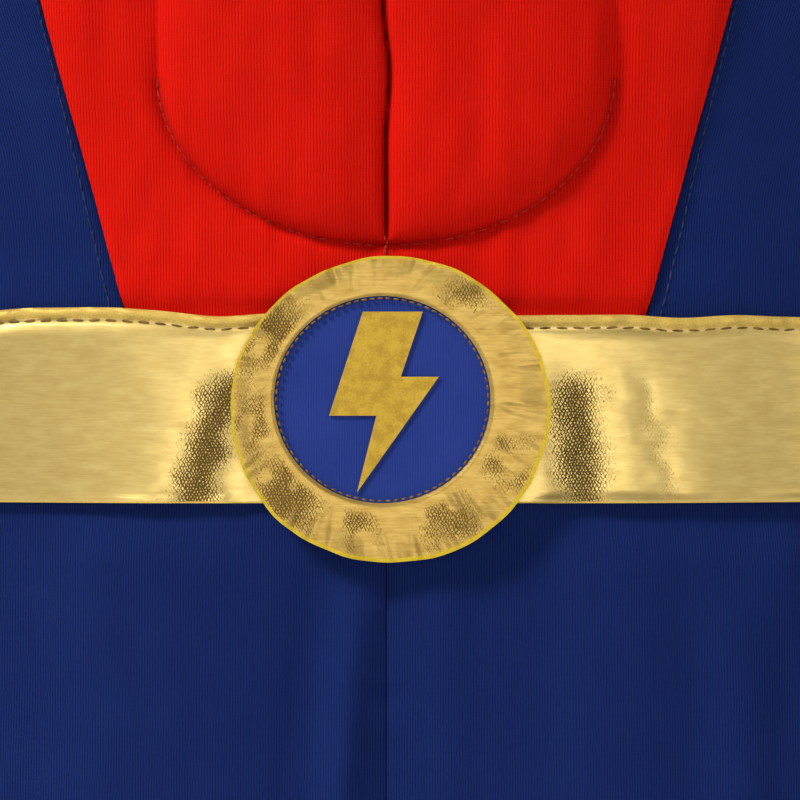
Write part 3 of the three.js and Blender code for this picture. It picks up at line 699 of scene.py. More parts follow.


# deep is painted shade, laid on the creases that the mesh marks
# gutter is painted shade, laid between the wales
looks = {
    "redKnit": knitMaterial("redKnit", {
        "deep": colour(84, 2, 2),
        "yarn": colour(224, 22, 8), "gutter": colour(186, 7, 3), "patch": colour(240, 38, 20),
        "patchShare": 0.12, "wale": 0.72, "course": 0.62, "unevenness": 0.5, "relief": 0.14, "roughness": 0.8,
        "sheen": 0.02, "sheenTint": (1.0, 0.2, 0.15, 1.0), "specular": 0.05,
    }),
    "navyKnit": knitMaterial("navyKnit", {
        "deep": colour(6, 12, 34),
        "yarn": colour(20, 40, 100), "gutter": colour(7, 18, 60), "patch": colour(30, 50, 112),
        "patchShare": 0.12, "wale": 0.65, "course": 0.56, "unevenness": 0.5, "relief": 0.14, "roughness": 0.8,
        "sheen": 0.03, "sheenTint": (0.4, 0.5, 1.0, 1.0), "specular": 0.08,
    }),
    "blueKnit": knitMaterial("blueKnit", {
        "deep": colour(16, 26, 70),
        "yarn": colour(34, 56, 134), "gutter": colour(24, 42, 116), "patch": colour(40, 62, 140),
        "patchShare": 0.3, "wale": 0.6, "course": 0.5, "unevenness": 0.6, "relief": 0.05, "roughness": 0.66,
        "sheen": 0.03, "sheenTint": (0.5, 0.6, 1.0, 1.0), "specular": 0.15,
    }),
    "mustardKnit": knitMaterial("mustardKnit", {
        "deep": colour(84, 60, 12),
        "yarn": colour(190, 150, 44), "gutter": colour(126, 92, 18), "patch": colour(204, 166, 66),
        "patchShare": 0.3, "wale": 0.8, "course": 0.7, "unevenness": 0.7, "relief": 0.12, "roughness": 0.7,
        "sheen": 0.15, "sheenTint": (1.0, 0.9, 0.6, 1.0), "specular": 0.3,
    }),
    "whiteTricot": knitMaterial("whiteTricot", {
        "deep": colour(140, 138, 132),
        "yarn": colour(232, 230, 224), "gutter": colour(184, 182, 176), "patch": colour(238, 236, 232),
        "patchShare": 0.4, "wale": 0.9, "course": 0.8, "unevenness": 0.4, "relief": 0.1, "roughness": 0.8,
        "sheen": 0.15, "sheenTint": (1.0, 1.0, 1.0, 1.0), "specular": 0.2,
    }),
    # speck is the colour of the painted dark reflection on the foil
    "ringFoil": foilMaterial("ringFoil", {
        "bright": colour(214, 180, 98), "dim": colour(182, 144, 68), "speck": colour(112, 84, 26),
        "edgeDark": colour(184, 150, 24), "edgeBright": colour(236, 204, 52),
        "streaks": 0.5, "metal": 0.85, "roughness": 0.42, "relief": 0.1,
    }),
    "goldFoil": foilMaterial("goldFoil", {
        "bright": colour(240, 212, 132), "dim": colour(222, 188, 108), "speck": colour(96, 70, 12),
        "edgeDark": colour(180, 138, 44), "edgeBright": colour(244, 212, 112),
        "streaks": 0.35, "metal": 0.85, "roughness": 0.4, "relief": 0.07,
    }),
    "mustardPrint": fuzzyMaterial("mustardPrint", {
        "dark": colour(176, 136, 26), "light": colour(208, 168, 46), "grain": 0.5, "patch": 2.6,
        "roughness": 0.58, "relief": 0.05, "specular": 0.35,
    }),
    "palePrintEdge": fuzzyMaterial("palePrintEdge", {
        "dark": colour(206, 182, 112), "light": colour(236, 220, 168), "grain": 0.4, "patch": 1.5,
        "roughness": 0.45, "relief": 0.03, "specular": 0.4,
    }),
    # gold thread painted dark: its colour also carries the shade of the sunken stitches and their needle
    # holes
    "goldThreadWithPaintedShade": fuzzyMaterial("goldThreadWithPaintedShade", {
        "dark": colour(84, 58, 14), "light": colour(150, 114, 40), "grain": 0.25, "patch": 1.2,
        "roughness": 0.6, "relief": 0.06,
    }),
    "redThread": fuzzyMaterial("redThread", {
        "dark": colour(140, 6, 4), "light": colour(206, 30, 18), "grain": 0.25, "patch": 1.2,
        "roughness": 0.6, "relief": 0.06,
    }),
    "navyThread": fuzzyMaterial("navyThread", {
        "dark": colour(12, 20, 50), "light": colour(40, 56, 104), "grain": 0.25, "patch": 1.2,
        "roughness": 0.6, "relief": 0.06,
    }),
    "whiteThread": fuzzyMaterial("whiteThread", {
        "dark": colour(196, 194, 188), "light": colour(236, 234, 230), "grain": 0.25, "patch": 1.2,
        "roughness": 0.6, "relief": 0.06,
    }),
    "blackFelt": fuzzyMaterial("blackFelt", {
        "dark": colour(24, 24, 26), "light": colour(58, 58, 62), "grain": 0.4, "patch": 2.5,
        "roughness": 0.9, "relief": 0.25, "sheen": 0.3,
    }),
    "wadding": fuzzyMaterial("wadding", {
        "dark": colour(214, 212, 206), "light": colour(244, 243, 240), "grain": 0.6, "patch": 5,
        "roughness": 0.92, "relief": 0.5, "sheen": 0.3,
    }),
    "hookTape": fuzzyMaterial("hookTape", {
        "dark": colour(14, 14, 18), "light": colour(60, 60, 66), "grain": 0.35, "patch": 1.2,
        "roughness": 0.7, "relief": 0.45, "sheen": 0.1,
    }),
    "gildedButton": fuzzyMaterial("gildedButton", {
        "dark": colour(196, 152, 60), "light": colour(240, 206, 120), "grain": 0.7, "patch": 4,
        "roughness": 0.3, "relief": 0.02, "metal": 0.95, "specular": 0.6,
    }),
    "redSatin": satinMaterial("redSatin", {
        "low": colour(176, 14, 8), "high": colour(206, 26, 14), "thread": 0.4, "roughness": 0.4,
        "relief": 0.02,
    }),
    "navySatin": satinMaterial("navySatin", {
        "low": colour(18, 30, 74), "high": colour(32, 48, 100), "thread": 0.4, "roughness": 0.42,
        "relief": 0.02,
    }),
    "whiteSatin": satinMaterial("whiteSatin", {
        "low": colour(222, 220, 214), "high": colour(242, 240, 236), "thread": 0.3, "roughness": 0.45,
        "relief": 0.02,
    }),
}
print("materials made:", len(looks))


def dress(piece, look, body="costume", nodes=()):
    # gives a piece its material, hides the part's nodes that it stands in for, and ties it to the body it
    # moves with
    piece.data.materials.append(looks[look])
    if nodes:
        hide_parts(*nodes)
    if body:
        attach(piece, body)
    return piece


def clothArea(cloth, distance):
    face = faceOf(cloth, distance)
    across, upward = face[:-1, 1:] - face[:-1, :-1], face[1:, :-1] - face[:-1, :-1]
    return float(np.linalg.norm(np.cross(across, upward), axis=-1).sum())


def declareSheet(piece, cloth, distance, flat):
    # flat: the cut's width and length; its area is what was cut out of that rectangle
    area = min(clothArea(cloth, distance), flat[0] * flat[1])
    print("  %s: cut %.0f x %.0f mm, area %.0f cm2, %.0f x %.0f measured" % (
        piece.name, flat[0], flat[1], area / 100, np.ptp(cloth["u"], axis=1).max(), cloth["v"][-1].max()))


# Red front: one knit cloth, quilted over the muscle padding
redFront = {
    "columns": 330, "rows": 300, "puffHeight": 6.4, "puffWidth": 15, "grooveWidth": 16, "creaseWidth": 2.6,
    "padRaise": 2.1, "lowerPuff": 1.3, "grooveWander": 0.8,
    "chest": {"x": 46, "z": -112, "spreadX": 27, "spreadZ": 23, "height": 8},
    "channelWidth": 1.5, "channelDepth": 1.1, "wrinkles": 0.7, "pucker": 0.45, "bellyTop": (-175, -140),
    "grooveShade": {"share": 0.55, "width": 0.8}, "stitchShade": {"share": 0.35, "width": 0.9},
    "uprightBelow": (-105, -80),  # heights between which the cloth starts to follow the shoulders
    "stitch": {"pitch": 2.75, "length": 2.3, "width": 0.55, "height": 0.45},
    "knot": {"pitch": 0.6, "length": 1.9, "width": 0.6, "height": 0.6},
    "cut": (236, 275),
}


def insideQuilting(x, z):
    # distance inside the U that the quilting follows, below 0 outside it
    down = np.minimum(z - quilting["bottomZ"] - quilting["height"], 0) / quilting["height"]
    return (1 - np.hypot(x / quilting["halfWidth"], down)) * quilting["height"]


def paddedShare(x, z):
    # 1 where the padding lies, easing to 0 at its rim
    top = topLine(x, neck["frontDrop"])
    foot = mix(waistSeam, top, 0.185)
    head = mix(waistSeam, top, 0.93)
    return smooth(z - foot, -6, 62) * pillow(head - z, 12) * pillow(panelEdgeX(z) - np.abs(x) - 2, 12)


def grooveX(z):
    wander = redFront["grooveWander"] * unevenness(z, 0 * z, 17, 14)
    return wander * smooth(z, quilting["bottomZ"], quilting["bottomZ"] + 12)


def redRelief(x, z):
    above = insideQuilting(x, z)
    away = np.abs(x - grooveX(z))
    crease = mix(pillow(away, redFront["grooveWidth"]), pillow(away, redFront["creaseWidth"]), 0.45)
    groove = mix(1, crease, smooth(above, -0.5, 3))
    puff = redFront["puffHeight"] * pillow(above, redFront["puffWidth"])
    padded = paddedShare(x, z)
    chest = redFront["chest"]
    swelling = chest["height"] * np.exp(-(((np.abs(x) - chest["x"]) / chest["spreadX"]) ** 2
                                          + ((z - chest["z"]) / chest["spreadZ"]) ** 2) / 2)
    belly = 1 - smooth(z, *redFront["bellyTop"])
    body = np.maximum(redFront["padRaise"] * padded, puff * belly * 0.999) + swelling * padded
    line = np.abs(above)
    quiltingTop = quilting["bottomZ"] + quilting["height"]
    stitched = 1 - smooth(z, quiltingTop - 4, quiltingTop + 12)
    channel = redFront["channelDepth"] * np.exp(-(line / redFront["channelWidth"]) ** 2) * stitched
    lower = redFront["lowerPuff"] * pillow(-above, 9) * smooth(z, beltTop - 2, beltTop + 8)
    clear = smooth(z, beltTop, beltTop + 5)
    uneven = unevenness(x, z * 0.45, 5.5, 11) + 0.8 * unevenness(x + z * 0.3, z, 13, 12)
    folds = redFront["wrinkles"] * uneven
    pucker = redFront["pucker"] * unevenness(x, z * 0.1, 3.2, 13) * np.exp(-line / 5) * stitched
    loose = (lower + folds * 0.6 + pucker + 0.7) * clear
    return (body + loose) * groove - np.minimum(channel, 0.6 + body) * clear


def frontNormal(x, z):
    step = 0.5
    def base(px, pz):
        return bodyPoint(frontAngle(px, pz), pz)
    normal = unit(np.cross(base(x + step, z) - base(x - step, z), base(x, z + step) - base(x, z - step)))
    return np.where(normal[..., 1:2] > 0, -normal, normal)


def onRedFront(x, z, proud):
    normal = frontNormal(x, z)
    distance = fabric["face"] + redRelief(x, z) + proud
    return bodyPoint(frontAngle(x, z), z) + normal * distance[..., None], normal


def walesAcross(x, z):
    # distance round the body from its middle, so that the knit runs straight up the front
    last, total = bodyPoint(frontAngle(0 * x, z), z), 0 * x
    for share in np.arange(1, 17) / 16:
        here = bodyPoint(frontAngle(x * share, z), z)
        total = total + np.linalg.norm(here - last, axis=-1)
        last = here
    return total * np.sign(x)


def frontClothOf(columns, rows):
    # across runs from -1 at the wearer's right edge to 1 at the left edge
    s, t = grid(columns, rows)
    across = mix(-1, 1, s)
    side = np.where(across < 0, -1, 1)
    cloth = clothOf(panelPoint(side, True, np.abs(across), t * (0.6 + 0.4 * t)), fromBody, 0.5)
    x, z = cloth["points"][..., 0], cloth["points"][..., 2]
    low, high = redFront["uprightBelow"]
    upright = 1 - smooth(z, low, high)[..., None]  # below the shoulders the body's own normal is smoother
    cloth["normals"] = unit(mix(cloth["normals"], frontNormal(x, np.minimum(z, high + 5)), upright))
    cloth["wales"] = walesAcross(x, np.minimum(z, low))
    return cloth


def makeRedFront():
    cloth = frontClothOf(redFront["columns"], redFront["rows"])
    x, z = cloth["points"][..., 0], cloth["points"][..., 2]
    relief = redRelief(x, z) + np.minimum(seamDips(cloth, 0.5, 1.2), 0) + seamPuckers(cloth, 21, 0.22)
    relief = np.where(z < beltTop, np.minimum(relief, 0.2), relief)
    # painted crease shade: the red is marked to be painted darker along the groove and along the quilting
    # line
    high = fabric["face"] + np.maximum(relief, -0.4)
    above, shade, dark = insideQuilting(x, z), redFront["grooveShade"], redFront["stitchShade"]
    offGroove = np.abs(x - grooveX(z)) / shade["width"]
    inGroove = shade["share"] * np.exp(-offGroove ** 1.5) * smooth(above, -1, 8)
    belowTop = z < quilting["bottomZ"] + quilting["height"]
    atStitches = dark["share"] * bump(above, 0, dark["width"]) * belowTop
    paintedCreaseShade = np.maximum(inGroove, atStitches)
    piece = makeSheet("redFront", cloth, high - fabric["redCloth"], high, {"paintedCreaseShade": paintedCreaseShade})
    dress(piece, "redKnit", nodes=["red_front"])
    backing = makeSheet("frontBacking", frontClothOf(90, 90), 0, fabric["backing"])
    dress(backing, "whiteTricot", nodes=["front_backing"])
    declareSheet(backing, cloth, 0, redFront["cut"])
    return piece, cloth, high


padding = {
    "columns": 70, "rows": 90, "near": 1.25, "far": 7.6, "foot": 2.5, "head": 9.6,  # these four in stations
    "rounding": 5, "clearance": 0.35, "aboveBacking": 0.15,
}


def makePadding(name, side):
    # the padding keeps clear of the red cloth over it
    near, far = padding["near"] / stations["across"], padding["far"] / stations["across"]
    foot, head = padding["foot"] / stations["up"], padding["head"] / stations["up"]
    s, t = grid(padding["columns"], padding["rows"])
    across = mix(near, far, s) if side > 0 else mix(far, near, s)
    points = panelPoint(side, True, across, mix(foot, head, t))
    cloth = clothOf(points, fromBody, 0.5)
    x, z = points[..., 0], points[..., 2]
    room = redRelief(x, z) + fabric["face"] - fabric["redCloth"] - padding["clearance"]
    rounding = pillow(np.minimum.reduce(edgeDistances(cloth)) + 0.4, padding["rounding"])
    base = fabric["backing"] + padding["aboveBacking"]
    high = base + np.maximum(0.35, (np.maximum(room, base + 0.5) - base) * mix(0.5, 1, rounding))
    piece = makeSheet("musclePadding_" + name, cloth, base, np.minimum(high, np.maximum(room, base + 0.35)))
    dress(piece, "wadding", nodes=["muscle_padding_" + name])


def makeQuilting(name, side):
    angle = np.linspace(0.05, math.pi / 2, 160)
    x = side * quilting["halfWidth"] * np.sin(angle)
    z = quilting["bottomZ"] + quilting["height"] * (1 - np.cos(angle))
    points, normals = onRedFront(x, z, redFront["stitch"]["height"] * 0.65)
    piece = makeStitches("quilting_" + name, points, normals, redFront["stitch"])
    dress(piece, "redThread", nodes=["quilting_thread_" + name])


def makeQuiltingKnot():
    # a bar of thread over the foot of the groove, where both lines of quilting end
    z = np.linspace(quilting["bottomZ"] - 1.6, quilting["bottomZ"] + 2.2, 12)
    x = 0.25 * np.sin(z * 2.1)
    points, normals = onRedFront(x, z, 0.35)
    piece = makeStitches("quiltingKnot", points, normals, redFront["knot"])
    dress(piece, "redThread")


frontPiece, frontCloth, frontHigh = makeRedFront()
for sideName, sideSign in sides:
    makePadding(sideName, sideSign)
    makeQuilting(sideName, sideSign)
makeQuiltingKnot()
declareSheet(frontPiece, frontCloth, frontHigh, redFront["cut"])
print("red front made")


# Navy panels at the back and the sides
navyPanels = {
    "wrinkles": 0.7, "backCut": (125, 275), "sideCut": (205, 175),
    "stitch": {"pitch": 3.2, "length": 2.6, "width": 0.5, "height": 0.4}, "inset": 3.0,
}


def makeNavyPanel(pieceName, node, cloth, cut, seed, stitched):
    u, v = cloth["u"], cloth["v"]
    uneven = unevenness(u, v * 0.4, 22, seed) + 0.5 * unevenness(u * 0.6, v, 9, seed + 1)
    folds = navyPanels["wrinkles"] * uneven
    left, right, foot, top = edgeDistances(cloth)
    relief = np.maximum(folds * pillow(np.minimum(foot, 30), 30) + 0.3, 0) * smooth(foot, 8, 20)
    relief = relief + seamDips(cloth) + seamPuckers(cloth, seed + 2, 0.25)
    relief = np.where(foot < 12, np.clip(relief, -0.5, 0.15), relief)
    high = fabric["face"] + np.maximum(relief, -0.7)
    low = np.maximum(fabric["navyBase"], high - fabric["navyCloth"])
    piece = makeSheet(pieceName, cloth, low, high)
    dress(piece, "navyKnit", nodes=[node])
    lines, stitch = [], navyPanels["stitch"]
    for edge in stitched:
        line, normals = insetLine(cloth, high + stitch["height"] * 0.3, edge, navyPanels["inset"])
        stitches = makeStitches("%s_stitching_%s" % (pieceName, edge), line[3:-3], normals[3:-3], stitch)
        lines.append(dress(stitches, "navyThread"))
    declareSheet(piece, cloth, high, cut)


def panelCloth(side, columns, rows):
    s, t = grid(columns, rows)
    return clothOf(panelPoint(side, False, s, t), fromBody, 0.0)


def flankCloth(side, columns, rows):
    s, t = grid(columns, rows)
    s = 0.5 - 0.5 * np.cos(math.pi * s)
    return clothOf(flankPoint(side, s, t), fromBody, 0.5)


# Hips, with the seam down the front that the two halves share
hips = {
    "columns": 200, "rows": 210, "cut": (210, 208), "hemFold": 14, "hemLift": 0.5, "puckers": 0.55,
    "twin": (9.5, 12.5), "foldX": -5.5, "foldHeight": 4.2, "foldWidth": 5.0,
    "sideGap": 0.0004, "sideLap": 0.0016,  # angles at the side seam
    "stitch": {"pitch": 2.8, "length": 2.2, "width": 0.5, "height": 0.4},
}


def hipCloth(side, front):
    s, t = grid(hips["columns"], hips["rows"])
    z = mix(hemLevel, waistSeam - fabric["edgeGap"], t)
    angle = np.clip(quarterAngle(s), frontAngle(fabric["layerGap"] / 2, z), math.pi / 2 - hips["sideGap"])
    if not front:
        angle = angle + hips["sideLap"] * (s > 0.999)  # the seam at the side lets no light through
    return clothOf(bodyPoint(side * (angle if front else math.pi - angle), z), fromBody, 0.0)


def makeHip(name, side, front):
    where = "front" if front else "back"
    cloth = hipCloth(side, front)
    x, z = cloth["points"][..., 0], cloth["points"][..., 2]
    left, right, foot, top = edgeDistances(cloth)
    below = smooth(beltBottom - z, 0, 16)  # the belt holds the cloth flat
    seed = 40 + 4 * front + side
    u, v = cloth["u"], cloth["v"]
    hang = 3.2 * unevenness(u, v * 0.12, 30, seed) + 1.4 * unevenness(u, v * 0.2, 12, seed + 10)
    relief = (hang + 1.2) * below * smooth(foot, 0, 30)
    relief *= mix(0.35, 1, smooth(left, 2, 20)) * smooth(right, 0, 22)
    relief += hips["puckers"] * unevenness(z, x * 0.1, 4.2, 60) * np.exp(-left / 5) * below
    if front:
        lean = hips["foldX"] - 0.07 * (beltBottom - z)
        ridge = bump(x, lean, hips["foldWidth"]) - 0.45 * bump(x, lean - 10, hips["foldWidth"])
        relief += hips["foldHeight"] * ridge * smooth(beltBottom - z, 6, 42) * smooth(foot, 10, 60)
    relief += seamPuckers(cloth, seed + 20, 0.2) * below
    relief += hips["hemLift"] * (1 - smooth(foot, hips["hemFold"] - 0.8, hips["hemFold"] + 0.4))
    relief -= 0.35 * sum(bump(foot, line, 0.9) for line in hips["twin"])
    relief += -0.9 * (np.exp(-(left / 1.4) ** 2) + np.exp(-(right / 1.4) ** 2))
    relief = np.where(below <= 0, np.clip(relief, -0.5, 0.1), relief)
    high = fabric["face"] + np.maximum(relief, -0.9)
    low = np.maximum(high - fabric["navyCloth"], 0.05)
    piece = makeSheet("hipPanel_%s_%s" % (where, name), cloth, low, high)
    dress(piece, "navyKnit", nodes=["hip_%s_%s" % (where, name)])
    for number, inset in enumerate(hips["twin"]):
        line, normals = insetLine(cloth, high + 0.12, "foot", inset)
        stitches = makeStitches("hemStitching_%s_%s_%d" % (where, name, number), line[2:-2], normals[2:-2],
                                hips["stitch"])
        dress(stitches, "navyThread")
    declareSheet(piece, cloth, high, hips["cut"])


# Belt: pressed foil with a rolled upper edge, over a knit lining
belt = {
    "columns": 560, "rows": 70, "cut": (330, 50), "wrinkles": 0.4, "roll": 2.6, "rollHeight": 0.65,
    "rollBumps": 0.75, "tilt": 2.2, "stitchInset": 3.1,
    "stitch": {"pitch": 4.0, "length": 2.7, "width": 0.5, "height": 0.4},
    # bands of painted dark reflection on the belt's foil
    "darkReflectionBands": [  # where across, how far it leans outwards for each millimetre down, width, strength
        (-34, -0.28, 6.2, 1.12), (45, 0.03, 6.6, 1.0), (57, 0.25, 4.0, 0.4),
    ],
}


def beltCloth(front, columns, rows):
    s, t = grid(columns, rows)
    turn = 2 * s - 1
    angle = np.sign(turn) * np.minimum(quarterAngle(np.abs(turn)), math.pi / 2 - 0.001)
    x = bodyPoint(angle, beltMid + 0 * angle)[..., 0]
    rise = belt["tilt"] * smooth(-x, 30, 66) + 0.6 * unevenness(x, 0 * x, 14, 68)
    rise = rise * smooth(112 - np.abs(x), 0, 30)
    points = bodyPoint(angle if front else math.pi - angle, mix(beltBottom, beltTop + rise, t))
    return clothOf(points, fromBody, 0.5)


def beltDarkReflection(cloth, front, paintedDarkReflection):
    # bands of painted dark reflection lean across the belt, and smaller ones follow round the sides
    x, z, u = cloth["points"][..., 0], cloth["points"][..., 2], cloth["u"]
    down = beltTop - z
    darkReflectionShare = np.zeros(u.shape)
    if front:
        for middle, lean, width, strength in belt["darkReflectionBands"]:
            ragged = 1.8 * unevenness(u, z, 5, int(300 + middle))
            band = strength * bump(x, middle + lean * down + ragged, width)
            darkReflectionShare = np.maximum(darkReflectionShare, band * smooth(down, 9, 19))
    away = smooth(np.abs(u), 75, 95) if front else 1
    scattered = smooth(unevenness(u + 0.5 * z, z * 0.6, 15, paintedDarkReflection), 0.3, 0.85)
    return np.maximum(darkReflectionShare, 0.7 * scattered * away * smooth(down, 4, 10))


def makeBelt(front):
    where = "front" if front else "back"
    cloth = beltCloth(front, belt["columns"], belt["rows"])
    u, v = cloth["u"], cloth["v"]
    left, right, foot, top = edgeDistances(cloth)
    seed = 70 if front else 90
    # where dark reflection is painted on the belt's foil; the relief also dips there
    darkReflectionShare = beltDarkReflection(cloth, front, seed + 9)
    underBadge = 1 - smooth(np.abs(u), 33, 40) if front else 0
    wide = unevenness(u, v * 0.35, 19, seed) * 1.1 + unevenness(u + 0.6 * v, v, 8, seed + 1) * 0.22
    fine = unevenness(u * 0.2, v, 1.6, seed + 2) * 0.05
    relief = belt["wrinkles"] * (wide + 0.9) + fine
    relief = relief * (1 - underBadge) * smooth(top, belt["roll"], belt["roll"] + 4)
    relief = relief * smooth(left, 0, 8) * smooth(right, 0, 8)
    relief -= 0.75 * darkReflectionShare * (1 - underBadge)
    uneven = unevenness(u, v * 0, 3.6, seed + 3) + 0.5 * unevenness(u + v, v, 1.6, seed + 4)
    lumps = 0.5 + belt["rollBumps"] * uneven
    rollShape = np.sqrt(np.clip(1 - ((top - belt["roll"] / 2) / (belt["roll"] / 2)) ** 2, 0, 1))
    relief += belt["rollHeight"] * rollShape * (0.5 + lumps)
    relief -= 0.4 * bump(top, belt["stitchInset"], 0.6)
    relief += 0.6 * (1 - smooth(foot, 0, 3)) * (1 + unevenness(u, v * 0, 17, seed + 5)) * (1 - underBadge)
    back, face = fabric["beltFoil"]
    high = face + np.maximum(relief, -0.15)
    rolled = 1 - smooth(top, belt["roll"] - 0.5, belt["roll"] + 0.5)
    edge = np.maximum(rolled, 1.2 * (1 - smooth(foot, 0.2, 0.7)))
    piece = makeSheet("beltFoil_" + where, cloth, high - (face - back), high, {"paintedDarkReflection": darkReflectionShare, "edge": edge})
    dress(piece, "goldFoil", nodes=["belt_" + where])
    line, normals = insetLine(cloth, high + 0.1, "top", belt["stitchInset"])
    stitches = makeStitches("beltStitching_" + where, line[2:-2], normals[2:-2], belt["stitch"])
    dress(stitches, "goldThreadWithPaintedShade", nodes=["belt_%s_stitching" % where])
    declareSheet(piece, cloth, high, belt["cut"])


def makeBeltLining(front):
    where = "front" if front else "back"
    cloth = beltCloth(front, 220, 30)
    piece = makeSheet("beltLining_" + where, cloth, *fabric["beltLining"])
    dress(piece, "mustardKnit", nodes=["belt_%s_lining" % where])
    declareSheet(piece, cloth, fabric["beltLining"][1], belt["cut"])


for isFront in (True, False):
    makeBeltLining(isFront)
    makeBelt(isFront)
print("belt made")
for sideName, sideSign in sides:
    makeNavyPanel("backPanel_" + sideName, "back_panel_" + sideName, panelCloth(sideSign, 120, 150),
                  navyPanels["backCut"], 100 + 5 * sideSign, ("start",))
    makeNavyPanel("sidePanel_" + sideName, "side_panel_" + sideName, flankCloth(sideSign, 170, 130),
                  navyPanels["sideCut"], 120 + 5 * sideSign, ("start", "end"))
    makeHip(sideName, sideSign, True)
    makeHip(sideName, sideSign, False)
print("navy panels made")


# Badge: felt, blue disc, bolt and a wavy foil ring
badge = {
    "hole": {"x": -0.9, "z": beltMid + 2.4, "width": 51.2, "height": 49},
    "feltFuzz": 0.35, "ringWaves": 1.0, "rawEdge": 0.75,
    "stitch": {"pitch": 1.9, "length": 1.3, "width": 0.5, "height": 0.5}, "stitchInset": 0.55,
    "bolt": {  # two strokes that lean left as they fall, measured from the middle of the disc
        "corners": [
            (-4.6, 20.8), (9.6, 20.8), (4.4, 5.4), (13.4, 5.4), (-6, -22), (-1.4, -3.8), (-12.6, -3.8),
        ],
        "rim": 0.45, "lift": 0.06, "step": 1.0,
    },
}


def ellipsePoint(middleX, middleZ, width, height, angle):
    return np.stack([middleX + np.cos(angle) * width / 2, middleZ + np.sin(angle) * height / 2], axis=-1)


def roundSheet(name, inner, outer, shares, front, back, marks=None):
    # a sheet between two outlines (angle to x and z); front and back give y from the angle and the share
    around = 360
    angle = np.arange(around) * 2 * math.pi / around
    share = np.array(shares)[:, None]
    flat = mix(inner(angle)[None], outer(angle)[None], share[..., None])
    layers = []
    for depth in (front, back):
        y = np.broadcast_to(depth(angle[None, :], share), flat.shape[:2])
        layers.append(np.stack([flat[..., 0], y, flat[..., 1]], axis=-1).reshape(-1, 3))
    rings = len(shares)
    k = np.arange(around)
    after = (k + 1) % around
    faces = []
    for j in range(rings - 1):
        a, b = j * around, (j + 1) * around
        faces.append(np.stack([a + k, b + k, b + after, a + after], axis=1))
        total = rings * around
        faces.append(np.stack([total + a + k, total + a + after, total + b + after, total + b + k], axis=1))
    last, total = (rings - 1) * around, rings * around
    faces.append(np.stack([last + k, total + last + k, total + last + after, last + after], axis=1))
    faces.append(np.stack([k, after, total + after, total + k], axis=1))
    uv = np.tile(flat.reshape(-1, 2), (2, 1))
    both = {label: np.tile(np.broadcast_to(values(angle[None, :], share), flat.shape[:2]).ravel(), 2)
            for label, values in (marks or {}).items()}
    return makeMesh(name, np.concatenate(layers), np.concatenate(faces).tolist(), uv, marks=both)


